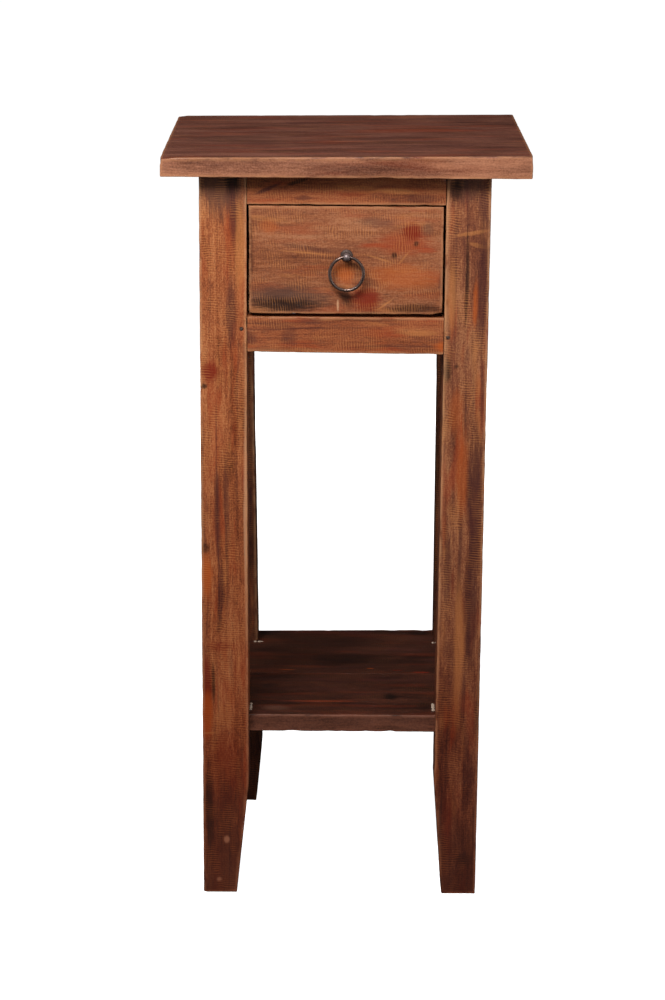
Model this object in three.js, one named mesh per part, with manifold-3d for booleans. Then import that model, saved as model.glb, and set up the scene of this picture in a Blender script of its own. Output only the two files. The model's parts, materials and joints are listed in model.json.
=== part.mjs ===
// Side table with one drawer: four tapered legs, tenoned rails and aprons, a two-board top,
// a notched two-board shelf, and a nailed drawer with an iron ring pull.
// Millimetres. +Z is up and the drawer opens towards -Y. The origin is on the floor, under the
// middle of the table top.
import * as THREE from 'three';
import { mergeVertices } from 'three/addons/utils/BufferGeometryUtils.js';
import Module from 'manifold-3d';

// ---------------------------------------------------------------- driving dimensions

const TABLE_HEIGHT = 762;
const TOP_WIDTH = 353;
const TOP_DEPTH = 306;
const TOP_THICKNESS = 20;
const TOP_WEDGE = 3.6;
const TOP_SEAM_Y = 28;

const LEGS_FRONT_Y = -135;
const LEGS_BACK_Y = 150;
const LEG_DEPTH = 45;

const RAIL_FACE_Y = -134;
const RAIL_THICKNESS = 20;
const RAIL_BOTTOM_Z = 569.2;
const RAIL_BOTTOM_SKEW = 1.6;
const OPENING_BOTTOM_Z = 604;
const OPENING_TOP_Z = 713.3;
const APRON_THICKNESS = 18;
const APRON_SET_BACK = 4;

const TENON_LENGTH = 24;
const TENON_THICKNESS = 8;
const TENON_SHOULDER = 6;
const TENON_ROOT = 1;

const SHELF_TOP_Z = 190.7;
const SHELF_THICKNESS = 18;
const SHELF_FRONT_Y = -123;
const SHELF_BACK_SKEW = 7;
const SHELF_HALF_WIDTH = 128;
const SHELF_SEAM_Y = 3;
const SHELF_HOUSING = 5;

const DRAWER_LEFT_X = -93.1;
const DRAWER_RIGHT_X = 93.9;
const DRAWER_BOTTOM_Z = 607;
const DRAWER_TOP_Z = 712;
const DRAWER_FRONT_THICKNESS = 18;
const DRAWER_LIP = 10;
const DRAWER_END_Y = 106;
const DRAWER_SIDE_INSET = 0.5;
const DRAWER_SIDE_HEIGHT = 95;
const DRAWER_WALL = 12;
const DRAWER_BACK_INSET = 4;
const PANEL_THICKNESS = 4;
const PANEL_LIFT = 6.3;
const PANEL_GROOVE = 6;

const RUNNER_WIDTH = 17;
const RUNNER_HEIGHT = 18.7;
const RUNNER_STUB = 6;
const GUIDE_CLEARANCE = 1.2;
const GUIDE_TOP_Z = 636;
const STOP_HEIGHT = 18;
const STOP_WIDTH = 11;

const PULL_X = 1;
const PULL_Z = 664.5;
const BALL_RADIUS = 4.75;
const BALL_STAND_OFF = 8;
const BALL_HOLE_RADIUS = 2.7;
const NECK_RADIUS = 2.9;
const ROSE_RADIUS = 6;
const ROSE_THICKNESS = 2;
const ROSE_CROWN_RADIUS = 3.9;
const ROSE_SHOULDER_RADIUS = 5.4;
const ROSE_SHOULDER_HEIGHT = 1.4;
const ROSE_RIM_HEIGHT = 0.8;
const SHANK_RADIUS = 2;
const WASHER_RADIUS = 6;
const WASHER_THICKNESS = 1;
const NUT_ACROSS_FLATS = 7;
const NUT_THICKNESS = 3.2;
const SHANK_SPARE = 2.8;
const RING_RADIUS = 16.2;
const RING_WIRE_RADIUS = 1.8;

const NAIL_RADIUS = 0.9;
const NAIL_HEAD_RADIUS = 1.7;
const NAIL_HEAD_THICKNESS = 0.8;
const NAIL_LENGTH = 28;
const NAIL_POINT = 2;
const SCREW_RADIUS = 2;
const SCREW_HEAD_RADIUS = 4;
const SCREW_HEAD_DEPTH = 2.4;
const SCREW_LENGTH = 32;
const SCREW_POINT = 5;
const SCREW_SLOT_WIDTH = 1;
const SCREW_SLOT_DEPTH = 1.2;
const SCREW_SINK = 8;
const SMALL_SIDES = 12;
const ROUND_SIDES = 24;
// How far a fastener's hole or slot is cut past the surface that it starts in.
const OVERCUT = 1;

// The space left at each glued joint and round each fastener.
const GAP = 0.3;

const TOP_UNDERSIDE_Z = TABLE_HEIGHT - TOP_THICKNESS;
const SHELF_BOTTOM_Z = SHELF_TOP_Z - SHELF_THICKNESS;
const APRON_BACK_Y = LEGS_BACK_Y - APRON_SET_BACK;
const APRON_INNER_Y = APRON_BACK_Y - APRON_THICKNESS;
const RAIL_BACK_Y = RAIL_FACE_Y + RAIL_THICKNESS;
const RUNNER_TOP_Z = DRAWER_BOTTOM_Z - GAP;
const RUNNER_BOTTOM_Z = RUNNER_TOP_Z - RUNNER_HEIGHT;
const FAR = 400;

// Each leg's inner and outer side faces in front view, as (z, x) points from the floor up to
// the rails, and how far its taper cuts back the face towards the middle of the table. Hand-cut
// legs differ by a few millimetres: the back left one leans in towards the floor.
const LEGS = {
  leg_front_left: {
    inner: [[0, -106.4], [120, -94], [RAIL_BOTTOM_Z, -95]],
    outer: [[0, -140.9], [RAIL_BOTTOM_Z, -140.9]],
    taperDepth: 11, side: -1, end: -1,
  },
  leg_front_right: {
    inner: [[0, 103.4], [122, 94.2], [RAIL_BOTTOM_Z, 95.8]],
    outer: [[0, 138.7], [RAIL_BOTTOM_Z, 138.9]],
    taperDepth: 11, side: 1, end: -1,
  },
  leg_back_left: {
    inner: [[0, -94], [66, -87.8], [190, -92], [RAIL_BOTTOM_Z, -97.5]],
    outer: [[0, -132], [RAIL_BOTTOM_Z, -141]],
    taperDepth: 5.5, side: -1, end: 1,
  },
  leg_back_right: {
    inner: [[0, 111], [120, 101.2], [RAIL_BOTTOM_Z, 99.5]],
    outer: [[0, 142], [RAIL_BOTTOM_Z, 141.5]],
    taperDepth: 11, side: 1, end: 1,
  },
};

const FINISHES = {
  frame: { color: 0x7a4a2c, roughness: 0.5, metalness: 0 },
  top: { color: 0x673f31, roughness: 0.45, metalness: 0 },
  shelf: { color: 0x402319, roughness: 0.45, metalness: 0 },
  drawer: { color: 0x8a5637, roughness: 0.5, metalness: 0 },
  inner: { color: 0xa9825a, roughness: 0.8, metalness: 0 },
  iron: { color: 0x35302e, roughness: 0.55, metalness: 0.8 },
  steel: { color: 0x8d8d8a, roughness: 0.4, metalness: 0.9 },
};

// ---------------------------------------------------------------- solids and geometries

const wasm = await Module();
wasm.setup();

function toSolid(geometry) {
  const bare = geometry.clone();
  bare.deleteAttribute('normal');
  bare.deleteAttribute('uv');
  const merged = mergeVertices(bare);
  return new wasm.Manifold(new wasm.Mesh({
    numProp: 3,
    vertProperties: new Float32Array(merged.attributes.position.array),
    triVerts: new Uint32Array(merged.index.array),
  }));
}

function toGeometry(solid) {
  const { vertProperties, triVerts } = solid.getMesh();
  const geometry = new THREE.BufferGeometry();
  geometry.setAttribute('position', new THREE.BufferAttribute(new Float32Array(vertProperties), 3));
  geometry.setIndex(new THREE.BufferAttribute(new Uint32Array(triVerts), 1));
  geometry.computeVertexNormals();
  return geometry;
}

// A box between two values on each axis, given in either order, grown by a margin all round.
function block([x0, x1], [y0, y1], [z0, z1], margin = 0) {
  const spans = [[x0, x1], [y0, y1], [z0, z1]];
  const sizes = spans.map(([a, b]) => Math.abs(b - a) + 2 * margin);
  const middles = spans.map(([a, b]) => (a + b) / 2);
  const geometry = new THREE.BoxGeometry(...sizes);
  geometry.translate(...middles);
  return toSolid(geometry);
}

// A prism along one axis. Its outline is in the next two axes in cyclic order: (y, z) for a
// prism along x, (z, x) along y and (x, y) along z.
function prism(axis, outline, low, high) {
  const directions = [
    new THREE.Vector3(1, 0, 0),
    new THREE.Vector3(0, 1, 0),
    new THREE.Vector3(0, 0, 1),
  ];
  const shape = new THREE.Shape(outline.map(([u, v]) => new THREE.Vector2(u, v)));
  const geometry = new THREE.ExtrudeGeometry(shape, { depth: high - low, bevelEnabled: false });
  geometry.translate(0, 0, low);
  geometry.applyMatrix4(new THREE.Matrix4().makeBasis(
    directions[(axis + 1) % 3],
    directions[(axis + 2) % 3],
    directions[axis],
  ));
  return toSolid(geometry);
}

// A turned body about +Y, from (radius, y) points that run from the axis back to the axis.
function turned(points, sides) {
  return new THREE.LatheGeometry(points.map(([r, y]) => new THREE.Vector2(r, y)), sides);
}

// A turned ring about +Y with a square-cornered section.
function collar(innerRadius, outerRadius, yLow, yHigh, sides) {
  return turned([
    [innerRadius, yLow], [outerRadius, yLow], [outerRadius, yHigh], [innerRadius, yHigh],
    [innerRadius, yLow],
  ], sides);
}

function rod(radius, yLow, yHigh, sides = ROUND_SIDES) {
  return toSolid(turned([[0, yLow], [radius, yLow], [radius, yHigh], [0, yHigh]], sides));
}

// ---------------------------------------------------------------- the piece list

const group = new THREE.Group();
const frameGroup = new THREE.Group();
const drawerGroup = new THREE.Group();
const pullGroup = new THREE.Group();
group.add(frameGroup, drawerGroup, pullGroup);

const solids = {};

function addMesh(parent, name, finish, geometry) {
  const mesh = new THREE.Mesh(geometry, new THREE.MeshStandardMaterial(FINISHES[finish]));
  mesh.name = name;
  parent.add(mesh);
  return mesh;
}

// ---------------------------------------------------------------- legs

// The inner side face's x at a height between the taper and the rails.
function legInnerX(leg, z) {
  const above = leg.inner.findIndex(([pointZ]) => pointZ > z);
  const [lowZ, lowX] = leg.inner[above - 1];
  const [highZ, highX] = leg.inner[above];
  return lowX + (highX - lowX) * (z - lowZ) / (highZ - lowZ);
}

function topOf(points) {
  return points[points.length - 1][1];
}

// The leg is where its front-view prism and its side-view prism cross.
function makeLeg(leg) {
  const frontView = prism(1, [
    ...leg.inner, [TOP_UNDERSIDE_Z, topOf(leg.inner)],
    [TOP_UNDERSIDE_Z, topOf(leg.outer)], ...leg.outer.toReversed(),
  ], LEGS_FRONT_Y, LEGS_BACK_Y);
  const outerY = leg.end < 0 ? LEGS_FRONT_Y : LEGS_BACK_Y;
  const innerY = outerY - leg.end * LEG_DEPTH;
  const taperStart = leg.inner[1][0];
  const sideView = prism(0, [
    [outerY, 0], [innerY + leg.end * leg.taperDepth, 0], [innerY, taperStart],
    [innerY, TOP_UNDERSIDE_Z], [outerY, TOP_UNDERSIDE_Z],
  ], -FAR, FAR);
  return frontView.intersect(sideView);
}

for (const [name, leg] of Object.entries(LEGS)) {
  solids[name] = makeLeg(leg);
}

// ---------------------------------------------------------------- rails and aprons

const FRONT_LEFT = LEGS.leg_front_left;
const FRONT_RIGHT = LEGS.leg_front_right;
const BACK_LEFT = LEGS.leg_back_left;
const BACK_RIGHT = LEGS.leg_back_right;
const FRONT_LEGS_INNER_Y = LEGS_FRONT_Y + LEG_DEPTH;
const BACK_LEGS_INNER_Y = LEGS_BACK_Y - LEG_DEPTH;

// A board that runs between two legs, with a tenon in each that starts a little inside the board.
// Its mortises are cut in the legs.
function tenonedBoard(body, tenons) {
  let board = body;
  for (const { legName, spans } of tenons) {
    board = board.add(block(...spans));
    solids[legName] = solids[legName].subtract(block(...spans, GAP));
  }
  return board;
}

// A board across the table between the left and right legs of the front or the back.
function crossBoard(leftName, rightName, ySpan, zSpan, outline) {
  const leftX = topOf(LEGS[leftName].inner);
  const rightX = topOf(LEGS[rightName].inner);
  const middleY = (ySpan[0] + ySpan[1]) / 2;
  const tenonY = [middleY - TENON_THICKNESS / 2, middleY + TENON_THICKNESS / 2];
  const tenonZ = [zSpan[0] + TENON_SHOULDER, zSpan[1] - TENON_SHOULDER];
  const body = prism(1, outline(leftX + GAP, rightX - GAP), ...ySpan);
  return tenonedBoard(body, [
    { legName: leftName, spans: [[leftX - TENON_LENGTH, leftX + TENON_ROOT], tenonY, tenonZ] },
    { legName: rightName, spans: [[rightX - TENON_ROOT, rightX + TENON_LENGTH], tenonY, tenonZ] },
  ]);
}

function rectangle(bottomZ, topZ) {
  return (leftX, rightX) => [[bottomZ, leftX], [topZ, leftX], [topZ, rightX], [bottomZ, rightX]];
}

solids.front_top_rail = crossBoard(
  'leg_front_left', 'leg_front_right',
  [RAIL_FACE_Y, RAIL_BACK_Y], [OPENING_TOP_Z, TOP_UNDERSIDE_Z],
  rectangle(OPENING_TOP_Z, TOP_UNDERSIDE_Z),
);
// The bottom rail is a little deeper at its right end.
solids.front_bottom_rail = crossBoard(
  'leg_front_left', 'leg_front_right',
  [RAIL_FACE_Y, RAIL_BACK_Y], [RAIL_BOTTOM_Z, OPENING_BOTTOM_Z],
  (leftX, rightX) => [
    [RAIL_BOTTOM_Z, leftX], [OPENING_BOTTOM_Z, leftX],
    [OPENING_BOTTOM_Z, rightX], [RAIL_BOTTOM_Z - RAIL_BOTTOM_SKEW, rightX],
  ],
);
solids.back_apron = crossBoard(
  'leg_back_left', 'leg_back_right',
  [APRON_INNER_Y, APRON_BACK_Y], [RAIL_BOTTOM_Z, TOP_UNDERSIDE_Z],
  rectangle(RAIL_BOTTOM_Z, TOP_UNDERSIDE_Z),
);

function sideApronSpan(side) {
  const frontLeg = side < 0 ? FRONT_LEFT : FRONT_RIGHT;
  const outerX = topOf(frontLeg.outer) - side * APRON_SET_BACK;
  return [outerX, outerX - side * APRON_THICKNESS];
}

function makeSideApron(side) {
  const [frontName, backName] = side < 0
    ? ['leg_front_left', 'leg_back_left'] : ['leg_front_right', 'leg_back_right'];
  const xSpan = sideApronSpan(side);
  const middleX = (xSpan[0] + xSpan[1]) / 2;
  const tenonX = [middleX - TENON_THICKNESS / 2, middleX + TENON_THICKNESS / 2];
  const tenonZ = [RAIL_BOTTOM_Z + TENON_SHOULDER, TOP_UNDERSIDE_Z - TENON_SHOULDER];
  const body = block(
    xSpan, [FRONT_LEGS_INNER_Y + GAP, BACK_LEGS_INNER_Y - GAP], [RAIL_BOTTOM_Z, TOP_UNDERSIDE_Z],
  );
  return tenonedBoard(body, [
    {
      legName: frontName,
      spans: [tenonX, [FRONT_LEGS_INNER_Y - TENON_LENGTH, FRONT_LEGS_INNER_Y + TENON_ROOT], tenonZ],
    },
    {
      legName: backName,
      spans: [tenonX, [BACK_LEGS_INNER_Y - TENON_ROOT, BACK_LEGS_INNER_Y + TENON_LENGTH], tenonZ],
    },
  ]);
}

solids.side_apron_left = makeSideApron(-1);
solids.side_apron_right = makeSideApron(1);

// ---------------------------------------------------------------- top and shelf

// Splits a panel into a front and a back board with an open glue line between them.
function splitBoards(panel, seamY) {
  const across = [-FAR, FAR];
  return {
    front: panel.intersect(block(across, [-FAR, seamY - GAP / 2], [0, 2 * FAR])),
    back: panel.intersect(block(across, [seamY + GAP / 2, FAR], [0, 2 * FAR])),
  };
}

// The top's upper face rises a little towards the right, so its boards are thicker there.
const top = splitBoards(
  prism(1, [
    [TOP_UNDERSIDE_Z, -TOP_WIDTH / 2], [TABLE_HEIGHT - TOP_WEDGE / 2, -TOP_WIDTH / 2],
    [TABLE_HEIGHT + TOP_WEDGE / 2, TOP_WIDTH / 2], [TOP_UNDERSIDE_Z, TOP_WIDTH / 2],
  ], -TOP_DEPTH / 2, TOP_DEPTH / 2),
  TOP_SEAM_Y,
);
solids.top_board_front = top.front;
solids.top_board_back = top.back;

// The shelf's plan. It is notched round the legs, and it enters each leg by the housing depth.
// Its back edge is sawn a little out of square.
function shelfOutline(margin) {
  const middleZ = (SHELF_TOP_Z + SHELF_BOTTOM_Z) / 2;
  const reach = SHELF_HOUSING + margin;
  const [frontLeftX, frontRightX, backLeftX, backRightX] = [FRONT_LEFT, FRONT_RIGHT, BACK_LEFT, BACK_RIGHT]
    .map((leg) => legInnerX(leg, middleZ) + leg.side * reach);
  const sideX = SHELF_HALF_WIDTH + margin;
  const frontY = SHELF_FRONT_Y - margin;
  const backY = LEGS_BACK_Y + margin;
  const frontNotchY = FRONT_LEGS_INNER_Y - reach;
  const backNotchY = BACK_LEGS_INNER_Y + reach;
  return [
    [frontLeftX, frontY], [frontRightX, frontY], [frontRightX, frontNotchY], [sideX, frontNotchY],
    [sideX, backNotchY], [backRightX, backNotchY], [backRightX, backY],
    [backLeftX, backY - SHELF_BACK_SKEW],
    [backLeftX, backNotchY], [-sideX, backNotchY], [-sideX, frontNotchY], [frontLeftX, frontNotchY],
  ];
}

const shelf = splitBoards(prism(2, shelfOutline(0), SHELF_BOTTOM_Z, SHELF_TOP_Z), SHELF_SEAM_Y);
solids.shelf_board_front = shelf.front;
solids.shelf_board_back = shelf.back;

const shelfHousing = prism(2, shelfOutline(GAP), SHELF_BOTTOM_Z - GAP, SHELF_TOP_Z + GAP);
for (const name of Object.keys(LEGS)) {
  solids[name] = solids[name].subtract(shelfHousing);
}

// ---------------------------------------------------------------- runners, guides, kickers, stops

const SIDES = { left: -1, right: 1 };

function drawerSideOuterX(side) {
  return side < 0 ? DRAWER_LEFT_X + DRAWER_SIDE_INSET : DRAWER_RIGHT_X - DRAWER_SIDE_INSET;
}

const STOP_Y = [DRAWER_END_Y + GAP, APRON_INNER_Y - GAP];
const BETWEEN_LEGS_Y = [FRONT_LEGS_INNER_Y + GAP, BACK_LEGS_INNER_Y - GAP];
const BEHIND_RAIL_Y = [RAIL_BACK_Y + GAP, APRON_INNER_Y - GAP];

for (const [sideName, side] of Object.entries(SIDES)) {
  const guideX = drawerSideOuterX(side) + side * GUIDE_CLEARANCE;
  const outerX = guideX - side * GAP;
  const barX = [outerX, outerX - side * RUNNER_WIDTH];
  const apronX = sideApronSpan(side)[1];

  const stubX = [outerX - side * TENON_SHOULDER / 2, outerX - side * (RUNNER_WIDTH - TENON_SHOULDER / 2)];
  const stubZ = [RUNNER_BOTTOM_Z + TENON_SHOULDER / 2, OPENING_BOTTOM_Z - TENON_SHOULDER / 2];
  const stub = [stubX, [RAIL_BACK_Y - RUNNER_STUB, APRON_INNER_Y + RUNNER_STUB], stubZ];
  solids[`drawer_runner_${sideName}`] = block(barX, BEHIND_RAIL_Y, [RUNNER_BOTTOM_Z, RUNNER_TOP_Z])
    .add(block(...stub));
  solids.front_bottom_rail = solids.front_bottom_rail.subtract(block(...stub, GAP));
  solids.back_apron = solids.back_apron.subtract(block(...stub, GAP));

  solids[`drawer_guide_${sideName}`] = block(
    [guideX, apronX + (side < 0 ? GAP : -GAP)], BETWEEN_LEGS_Y, [RUNNER_BOTTOM_Z, GUIDE_TOP_Z],
  );
  solids[`drawer_kicker_${sideName}`] = block(barX, BEHIND_RAIL_Y, [OPENING_TOP_Z, TOP_UNDERSIDE_Z]);

  const stopX = drawerSideOuterX(side);
  solids[`drawer_stop_${sideName}`] = block(
    [stopX, stopX - side * STOP_WIDTH], STOP_Y, [RUNNER_TOP_Z, RUNNER_TOP_Z + STOP_HEIGHT],
  );
}

// ---------------------------------------------------------------- drawer box

const DRAWER_FRONT_Y = RAIL_FACE_Y;
const FRONT_INNER_Y = DRAWER_FRONT_Y + DRAWER_FRONT_THICKNESS;
const SIDE_TOP_Z = DRAWER_BOTTOM_Z + DRAWER_SIDE_HEIGHT;
const PANEL_BOTTOM_Z = DRAWER_BOTTOM_Z + PANEL_LIFT;
const PANEL_TOP_Z = PANEL_BOTTOM_Z + PANEL_THICKNESS;
const LEFT_WALL_X = drawerSideOuterX(-1) + DRAWER_WALL;
const RIGHT_WALL_X = drawerSideOuterX(1) - DRAWER_WALL;
const BACK_Y = [DRAWER_END_Y - DRAWER_BACK_INSET - DRAWER_WALL, DRAWER_END_Y - DRAWER_BACK_INSET];

// The bottom panel slides in grooves in the front and the sides, and passes under the back.
const panelX = [LEFT_WALL_X - PANEL_GROOVE + GAP, RIGHT_WALL_X + PANEL_GROOVE - GAP];
const panelY = [FRONT_INNER_Y - PANEL_GROOVE + GAP, BACK_Y[1]];
solids.drawer_bottom = block(panelX, panelY, [PANEL_BOTTOM_Z, PANEL_TOP_Z]);
const panelGroove = block(panelX, [panelY[0], FAR], [PANEL_BOTTOM_Z, PANEL_TOP_Z], GAP);

solids.drawer_front = block(
  [DRAWER_LEFT_X, DRAWER_RIGHT_X], [DRAWER_FRONT_Y, FRONT_INNER_Y], [DRAWER_BOTTOM_Z, DRAWER_TOP_Z],
);
for (const [sideName, side] of Object.entries(SIDES)) {
  const outerX = drawerSideOuterX(side);
  const innerX = outerX - side * DRAWER_WALL;
  const zSpan = [DRAWER_BOTTOM_Z, SIDE_TOP_Z];
  const sideBoard = block([outerX, innerX], [DRAWER_FRONT_Y + DRAWER_LIP, DRAWER_END_Y], zSpan);
  solids[`drawer_side_${sideName}`] = sideBoard.subtract(panelGroove);
  const rebate = block(
    [side * FAR, innerX - side * GAP], [DRAWER_FRONT_Y + DRAWER_LIP - GAP, FAR], [0, 2 * FAR],
  );
  solids.drawer_front = solids.drawer_front.subtract(rebate);
}
solids.drawer_front = solids.drawer_front.subtract(panelGroove);
solids.drawer_back = block(
  [LEFT_WALL_X + GAP, RIGHT_WALL_X - GAP], BACK_Y, [PANEL_TOP_Z + GAP, SIDE_TOP_Z],
);

// ---------------------------------------------------------------- nails and screws

// Both run along +Y from the top of the head, which is at y = 0.
const nailShape = turned([
  [0, 0], [NAIL_HEAD_RADIUS, 0], [NAIL_HEAD_RADIUS, NAIL_HEAD_THICKNESS],
  [NAIL_RADIUS, NAIL_HEAD_THICKNESS], [NAIL_RADIUS, NAIL_LENGTH - NAIL_POINT], [0, NAIL_LENGTH],
], SMALL_SIDES);
const nailHole = rod(NAIL_RADIUS + GAP, -OVERCUT, NAIL_LENGTH + GAP, SMALL_SIDES)
  .add(rod(NAIL_HEAD_RADIUS + GAP, -OVERCUT, NAIL_HEAD_THICKNESS + GAP, SMALL_SIDES));

const screwBody = toSolid(turned([
  [0, 0], [SCREW_HEAD_RADIUS, 0], [SCREW_RADIUS, SCREW_HEAD_DEPTH],
  [SCREW_RADIUS, SCREW_LENGTH - SCREW_POINT], [0, SCREW_LENGTH],
], SMALL_SIDES));
const screwSlot = block(
  [-SCREW_HEAD_RADIUS, SCREW_HEAD_RADIUS], [-OVERCUT, SCREW_SLOT_DEPTH],
  [-SCREW_SLOT_WIDTH / 2, SCREW_SLOT_WIDTH / 2],
);
const screwShape = toGeometry(screwBody.subtract(screwSlot));
const screwHole = rod(SCREW_RADIUS + GAP, -OVERCUT, SCREW_LENGTH + GAP, SMALL_SIDES)
  .add(rod(SCREW_HEAD_RADIUS + GAP, -SCREW_SINK, SCREW_HEAD_DEPTH, SMALL_SIDES));

// Drives a fastener from its head's position along a direction, through the named pieces.
function drive(parent, name, shape, hole, position, direction, pieceNames) {
  const mesh = addMesh(parent, name, 'steel', shape);
  mesh.position.set(...position);
  mesh.quaternion.setFromUnitVectors(new THREE.Vector3(0, 1, 0), new THREE.Vector3(...direction));
  mesh.updateMatrix();
  const placedHole = toSolid(toGeometry(hole).applyMatrix4(mesh.matrix));
  for (const pieceName of pieceNames) {
    solids[pieceName] = solids[pieceName].subtract(placedHole);
  }
}

// One nail through each front leg pins the bottom rail's tenon.
const RAIL_NAIL_SINK = 0.2;
const RAIL_NAILS = { left: [-100.2, 592], right: [99.8, 584.8] };
for (const [sideName, [x, z]] of Object.entries(RAIL_NAILS)) {
  drive(
    frameGroup, `rail_nail_${sideName}`, nailShape, nailHole,
    [x, LEGS_FRONT_Y + RAIL_NAIL_SINK, z], [0, 1, 0],
    [`leg_front_${sideName}`, 'front_bottom_rail'],
  );
}

// Two screws through each kicker hold the top, one in each of its boards.
const TOP_SCREW_Y = { front: -70, back: 85 };
for (const [sideName, side] of Object.entries(SIDES)) {
  const x = drawerSideOuterX(side) - side * RUNNER_WIDTH / 2;
  for (const [endName, y] of Object.entries(TOP_SCREW_Y)) {
    drive(
      frameGroup, `top_screw_${endName}_${sideName}`, screwShape, screwHole,
      [x, y, OPENING_TOP_Z + SCREW_SINK], [0, 0, 1],
      [`drawer_kicker_${sideName}`, `top_board_${endName}`],
    );
  }
}

// Nails through the drawer's sides into the front and the back, and up through the bottom.
const LOW_NAIL_RISE = 26;
const HIGH_NAIL_DROP = 18;
const FRONT_NAIL_INSET = 4;
const SIDE_NAIL_SINK = 0.4;
const SIDE_NAIL_Z = { low: DRAWER_BOTTOM_Z + LOW_NAIL_RISE, high: SIDE_TOP_Z - HIGH_NAIL_DROP };
const SIDE_NAIL_Y = {
  front: DRAWER_FRONT_Y + DRAWER_LIP + FRONT_NAIL_INSET,
  back: (BACK_Y[0] + BACK_Y[1]) / 2,
};
for (const [sideName, side] of Object.entries(SIDES)) {
  for (const [endName, y] of Object.entries(SIDE_NAIL_Y)) {
    for (const [levelName, z] of Object.entries(SIDE_NAIL_Z)) {
      drive(
        drawerGroup, `drawer_nail_${sideName}_${endName}_${levelName}`, nailShape, nailHole,
        [drawerSideOuterX(side) - side * SIDE_NAIL_SINK, y, z], [-side, 0, 0],
        [`drawer_side_${sideName}`, `drawer_${endName}`],
      );
    }
  }
}

const BOTTOM_NAIL_X = 45;
for (const [sideName, side] of Object.entries(SIDES)) {
  drive(
    drawerGroup, `drawer_bottom_nail_${sideName}`, nailShape, nailHole,
    [side * BOTTOM_NAIL_X, SIDE_NAIL_Y.back, PANEL_BOTTOM_Z], [0, 0, 1],
    ['drawer_bottom', 'drawer_back'],
  );
}

// ---------------------------------------------------------------- ring pull

const BALL_Y = DRAWER_FRONT_Y - BALL_STAND_OFF;
const ROSE_FACE_Y = DRAWER_FRONT_Y - ROSE_THICKNESS;
const WASHER_Y = [FRONT_INNER_Y, FRONT_INNER_Y + WASHER_THICKNESS];
const NUT_Y = [WASHER_Y[1] + GAP, WASHER_Y[1] + GAP + NUT_THICKNESS];
const BORE_RADIUS = SHANK_RADIUS + GAP;
const BALL_SEGMENTS = 12;
const RING_SEGMENTS = 48;

// The stud: a ball, a short neck against the rose, and a shank through the drawer front.
function makeStud() {
  const neckAngle = Math.asin(NECK_RADIUS / BALL_RADIUS);
  const ballPoints = Array.from({ length: BALL_SEGMENTS + 1 }, (_, step) => {
    const angle = (Math.PI - neckAngle) * step / BALL_SEGMENTS;
    return [BALL_RADIUS * Math.sin(angle), BALL_Y - BALL_RADIUS * Math.cos(angle)];
  });
  const body = toSolid(turned([
    ...ballPoints, [NECK_RADIUS, ROSE_FACE_Y - GAP], [SHANK_RADIUS, ROSE_FACE_Y - GAP],
    [SHANK_RADIUS, NUT_Y[1] + SHANK_SPARE], [0, NUT_Y[1] + SHANK_SPARE],
  ], ROUND_SIDES));
  const hole = new THREE.CylinderGeometry(BALL_HOLE_RADIUS, BALL_HOLE_RADIUS, 4 * BALL_RADIUS, ROUND_SIDES);
  hole.rotateZ(Math.PI / 2);
  hole.translate(0, BALL_Y, 0);
  return toGeometry(body.subtract(toSolid(hole)));
}

// The rose is a low dome with a hole for the shank.
function makeRose() {
  return turned([
    [BORE_RADIUS, ROSE_FACE_Y], [ROSE_CROWN_RADIUS, ROSE_FACE_Y],
    [ROSE_SHOULDER_RADIUS, DRAWER_FRONT_Y - ROSE_SHOULDER_HEIGHT],
    [ROSE_RADIUS, DRAWER_FRONT_Y - ROSE_RIM_HEIGHT], [ROSE_RADIUS, DRAWER_FRONT_Y],
    [BORE_RADIUS, DRAWER_FRONT_Y], [BORE_RADIUS, ROSE_FACE_Y],
  ], ROUND_SIDES);
}

function makeNut() {
  const corner = NUT_ACROSS_FLATS / Math.sqrt(3);
  const outline = Array.from({ length: 6 }, (_, index) => {
    const angle = index * Math.PI / 3;
    return [corner * Math.cos(angle), corner * Math.sin(angle)];
  });
  return toGeometry(prism(1, outline, ...NUT_Y).subtract(rod(BORE_RADIUS, -FAR, FAR)));
}

// The ring hangs from the ball. The top of its wire runs along the axis of the ball's hole.
function makeRing() {
  const ring = new THREE.TorusGeometry(RING_RADIUS, RING_WIRE_RADIUS, SMALL_SIDES, RING_SEGMENTS);
  ring.rotateX(Math.PI / 2);
  ring.translate(0, BALL_Y, -RING_RADIUS);
  return ring;
}

pullGroup.position.set(PULL_X, 0, PULL_Z);
addMesh(pullGroup, 'pull_stud', 'iron', makeStud());
addMesh(pullGroup, 'pull_rose', 'iron', makeRose());
addMesh(pullGroup, 'pull_washer', 'steel', collar(BORE_RADIUS, WASHER_RADIUS, ...WASHER_Y, ROUND_SIDES));
addMesh(pullGroup, 'pull_nut', 'steel', makeNut());
addMesh(pullGroup, 'pull_ring', 'iron', makeRing());

const shankHole = new THREE.CylinderGeometry(BORE_RADIUS, BORE_RADIUS, FAR, ROUND_SIDES);
shankHole.translate(PULL_X, DRAWER_FRONT_Y, PULL_Z);
solids.drawer_front = solids.drawer_front.subtract(toSolid(shankHole));

// ---------------------------------------------------------------- wooden pieces into the scene

function finishOf(name) {
  if (name.startsWith('top_')) return 'top';
  if (name.startsWith('shelf_')) return 'shelf';
  if (name === 'drawer_front') return 'drawer';
  return name.startsWith('drawer_') ? 'inner' : 'frame';
}

const DRAWER_PIECES = [
  'drawer_front', 'drawer_side_left', 'drawer_side_right', 'drawer_back', 'drawer_bottom',
];
for (const [name, solid] of Object.entries(solids)) {
  const parent = DRAWER_PIECES.includes(name) ? drawerGroup : frameGroup;
  addMesh(parent, name, finishOf(name), toGeometry(solid));
}

export default group;
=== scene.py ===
import json
import math
import random

import bmesh
import bpy
import numpy as np
from mathutils import Matrix, Vector, noise
from mathutils.bvhtree import BVHTree

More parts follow.
